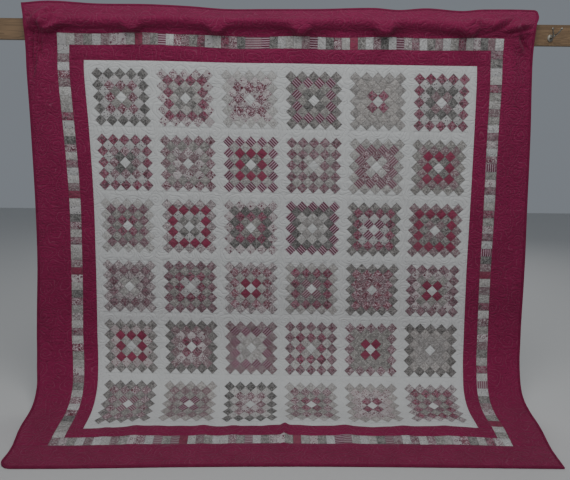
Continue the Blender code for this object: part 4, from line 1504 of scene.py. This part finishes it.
class QUILT_OT_plain_borders(bpy.types.Operator):
    """Make the plain inner and outer borders"""

    bl_idname = "quilt.plain_borders"
    bl_label = "Plain borders"

    def execute(self, context):
        build_plain_border("inner_border", OUTER_BORDER + PIECED_BORDER, ALL_BORDERS)
        build_plain_border("outer_border", 0.0, OUTER_BORDER)
        return {"FINISHED"}


class QUILT_OT_pieced_border(bpy.types.Operator):
    """Make the border of small printed patches"""

    bl_idname = "quilt.pieced_border"
    bl_label = "Pieced border"

    def execute(self, context):
        build_pieced_border()
        return {"FINISHED"}


class QUILT_OT_binding(bpy.types.Operator):
    """Make the folded binding round the quilt's edge"""

    bl_idname = "quilt.binding"
    bl_label = "Binding"

    def execute(self, context):
        build_binding()
        return {"FINISHED"}


class QUILT_OT_rail(bpy.types.Operator):
    """Finish the rail that the hooks are screwed to"""

    bl_idname = "quilt.rail"
    bl_label = "Rail"

    def execute(self, context):
        build_rail()
        return {"FINISHED"}


class QUILT_OT_hooks(bpy.types.Operator):
    """Make the forked hooks along the rail"""

    bl_idname = "quilt.hooks"
    bl_label = "Hooks"

    def execute(self, context):
        build_hooks()
        return {"FINISHED"}


class QUILT_OT_stage(bpy.types.Operator):
    """Make the floor, the lights and the camera"""

    bl_idname = "quilt.stage"
    bl_label = "Stage"

    def execute(self, context):
        build_stage()
        return {"FINISHED"}


class QUILT_PT_pieces(bpy.types.Panel):
    """The quilt's pieces, sizes and colours"""

    bl_label = "Patchwork quilt"
    bl_idname = "QUILT_PT_pieces"
    bl_space_type = "VIEW_3D"
    bl_region_type = "UI"
    bl_category = "Quilt"

    def draw(self, context):
        layout = self.layout
        for group in (context.scene.quilt_sizes, context.scene.quilt_colours):
            for name in group.bl_rna.properties.keys():
                if name not in ("rna_type", "name"):
                    layout.prop(group, name)
        for operator in OPERATORS:
            layout.operator(operator.bl_idname)


OPERATORS = (
    QUILT_OT_field, QUILT_OT_plain_borders, QUILT_OT_pieced_border, QUILT_OT_binding,
    QUILT_OT_rail, QUILT_OT_hooks, QUILT_OT_stage,
)
CLASSES = (QuiltSizes, QuiltColours, *OPERATORS, QUILT_PT_pieces)


def register():
    for made in CLASSES:
        bpy.utils.register_class(made)
    bpy.types.Scene.quilt_sizes = bpy.props.PointerProperty(type=QuiltSizes)
    bpy.types.Scene.quilt_colours = bpy.props.PointerProperty(type=QuiltColours)


def unregister():
    del bpy.types.Scene.quilt_colours
    del bpy.types.Scene.quilt_sizes
    for made in reversed(CLASSES):
        bpy.utils.unregister_class(made)


def main():
    """Make every piece."""
    register()
    bpy.ops.object.select_all(action="DESELECT")
    for make in (
        bpy.ops.quilt.field, bpy.ops.quilt.plain_borders, bpy.ops.quilt.pieced_border,
        bpy.ops.quilt.binding, bpy.ops.quilt.rail, bpy.ops.quilt.hooks, bpy.ops.quilt.stage,
    ):
        make()


if __name__ == "__main__":
    main()
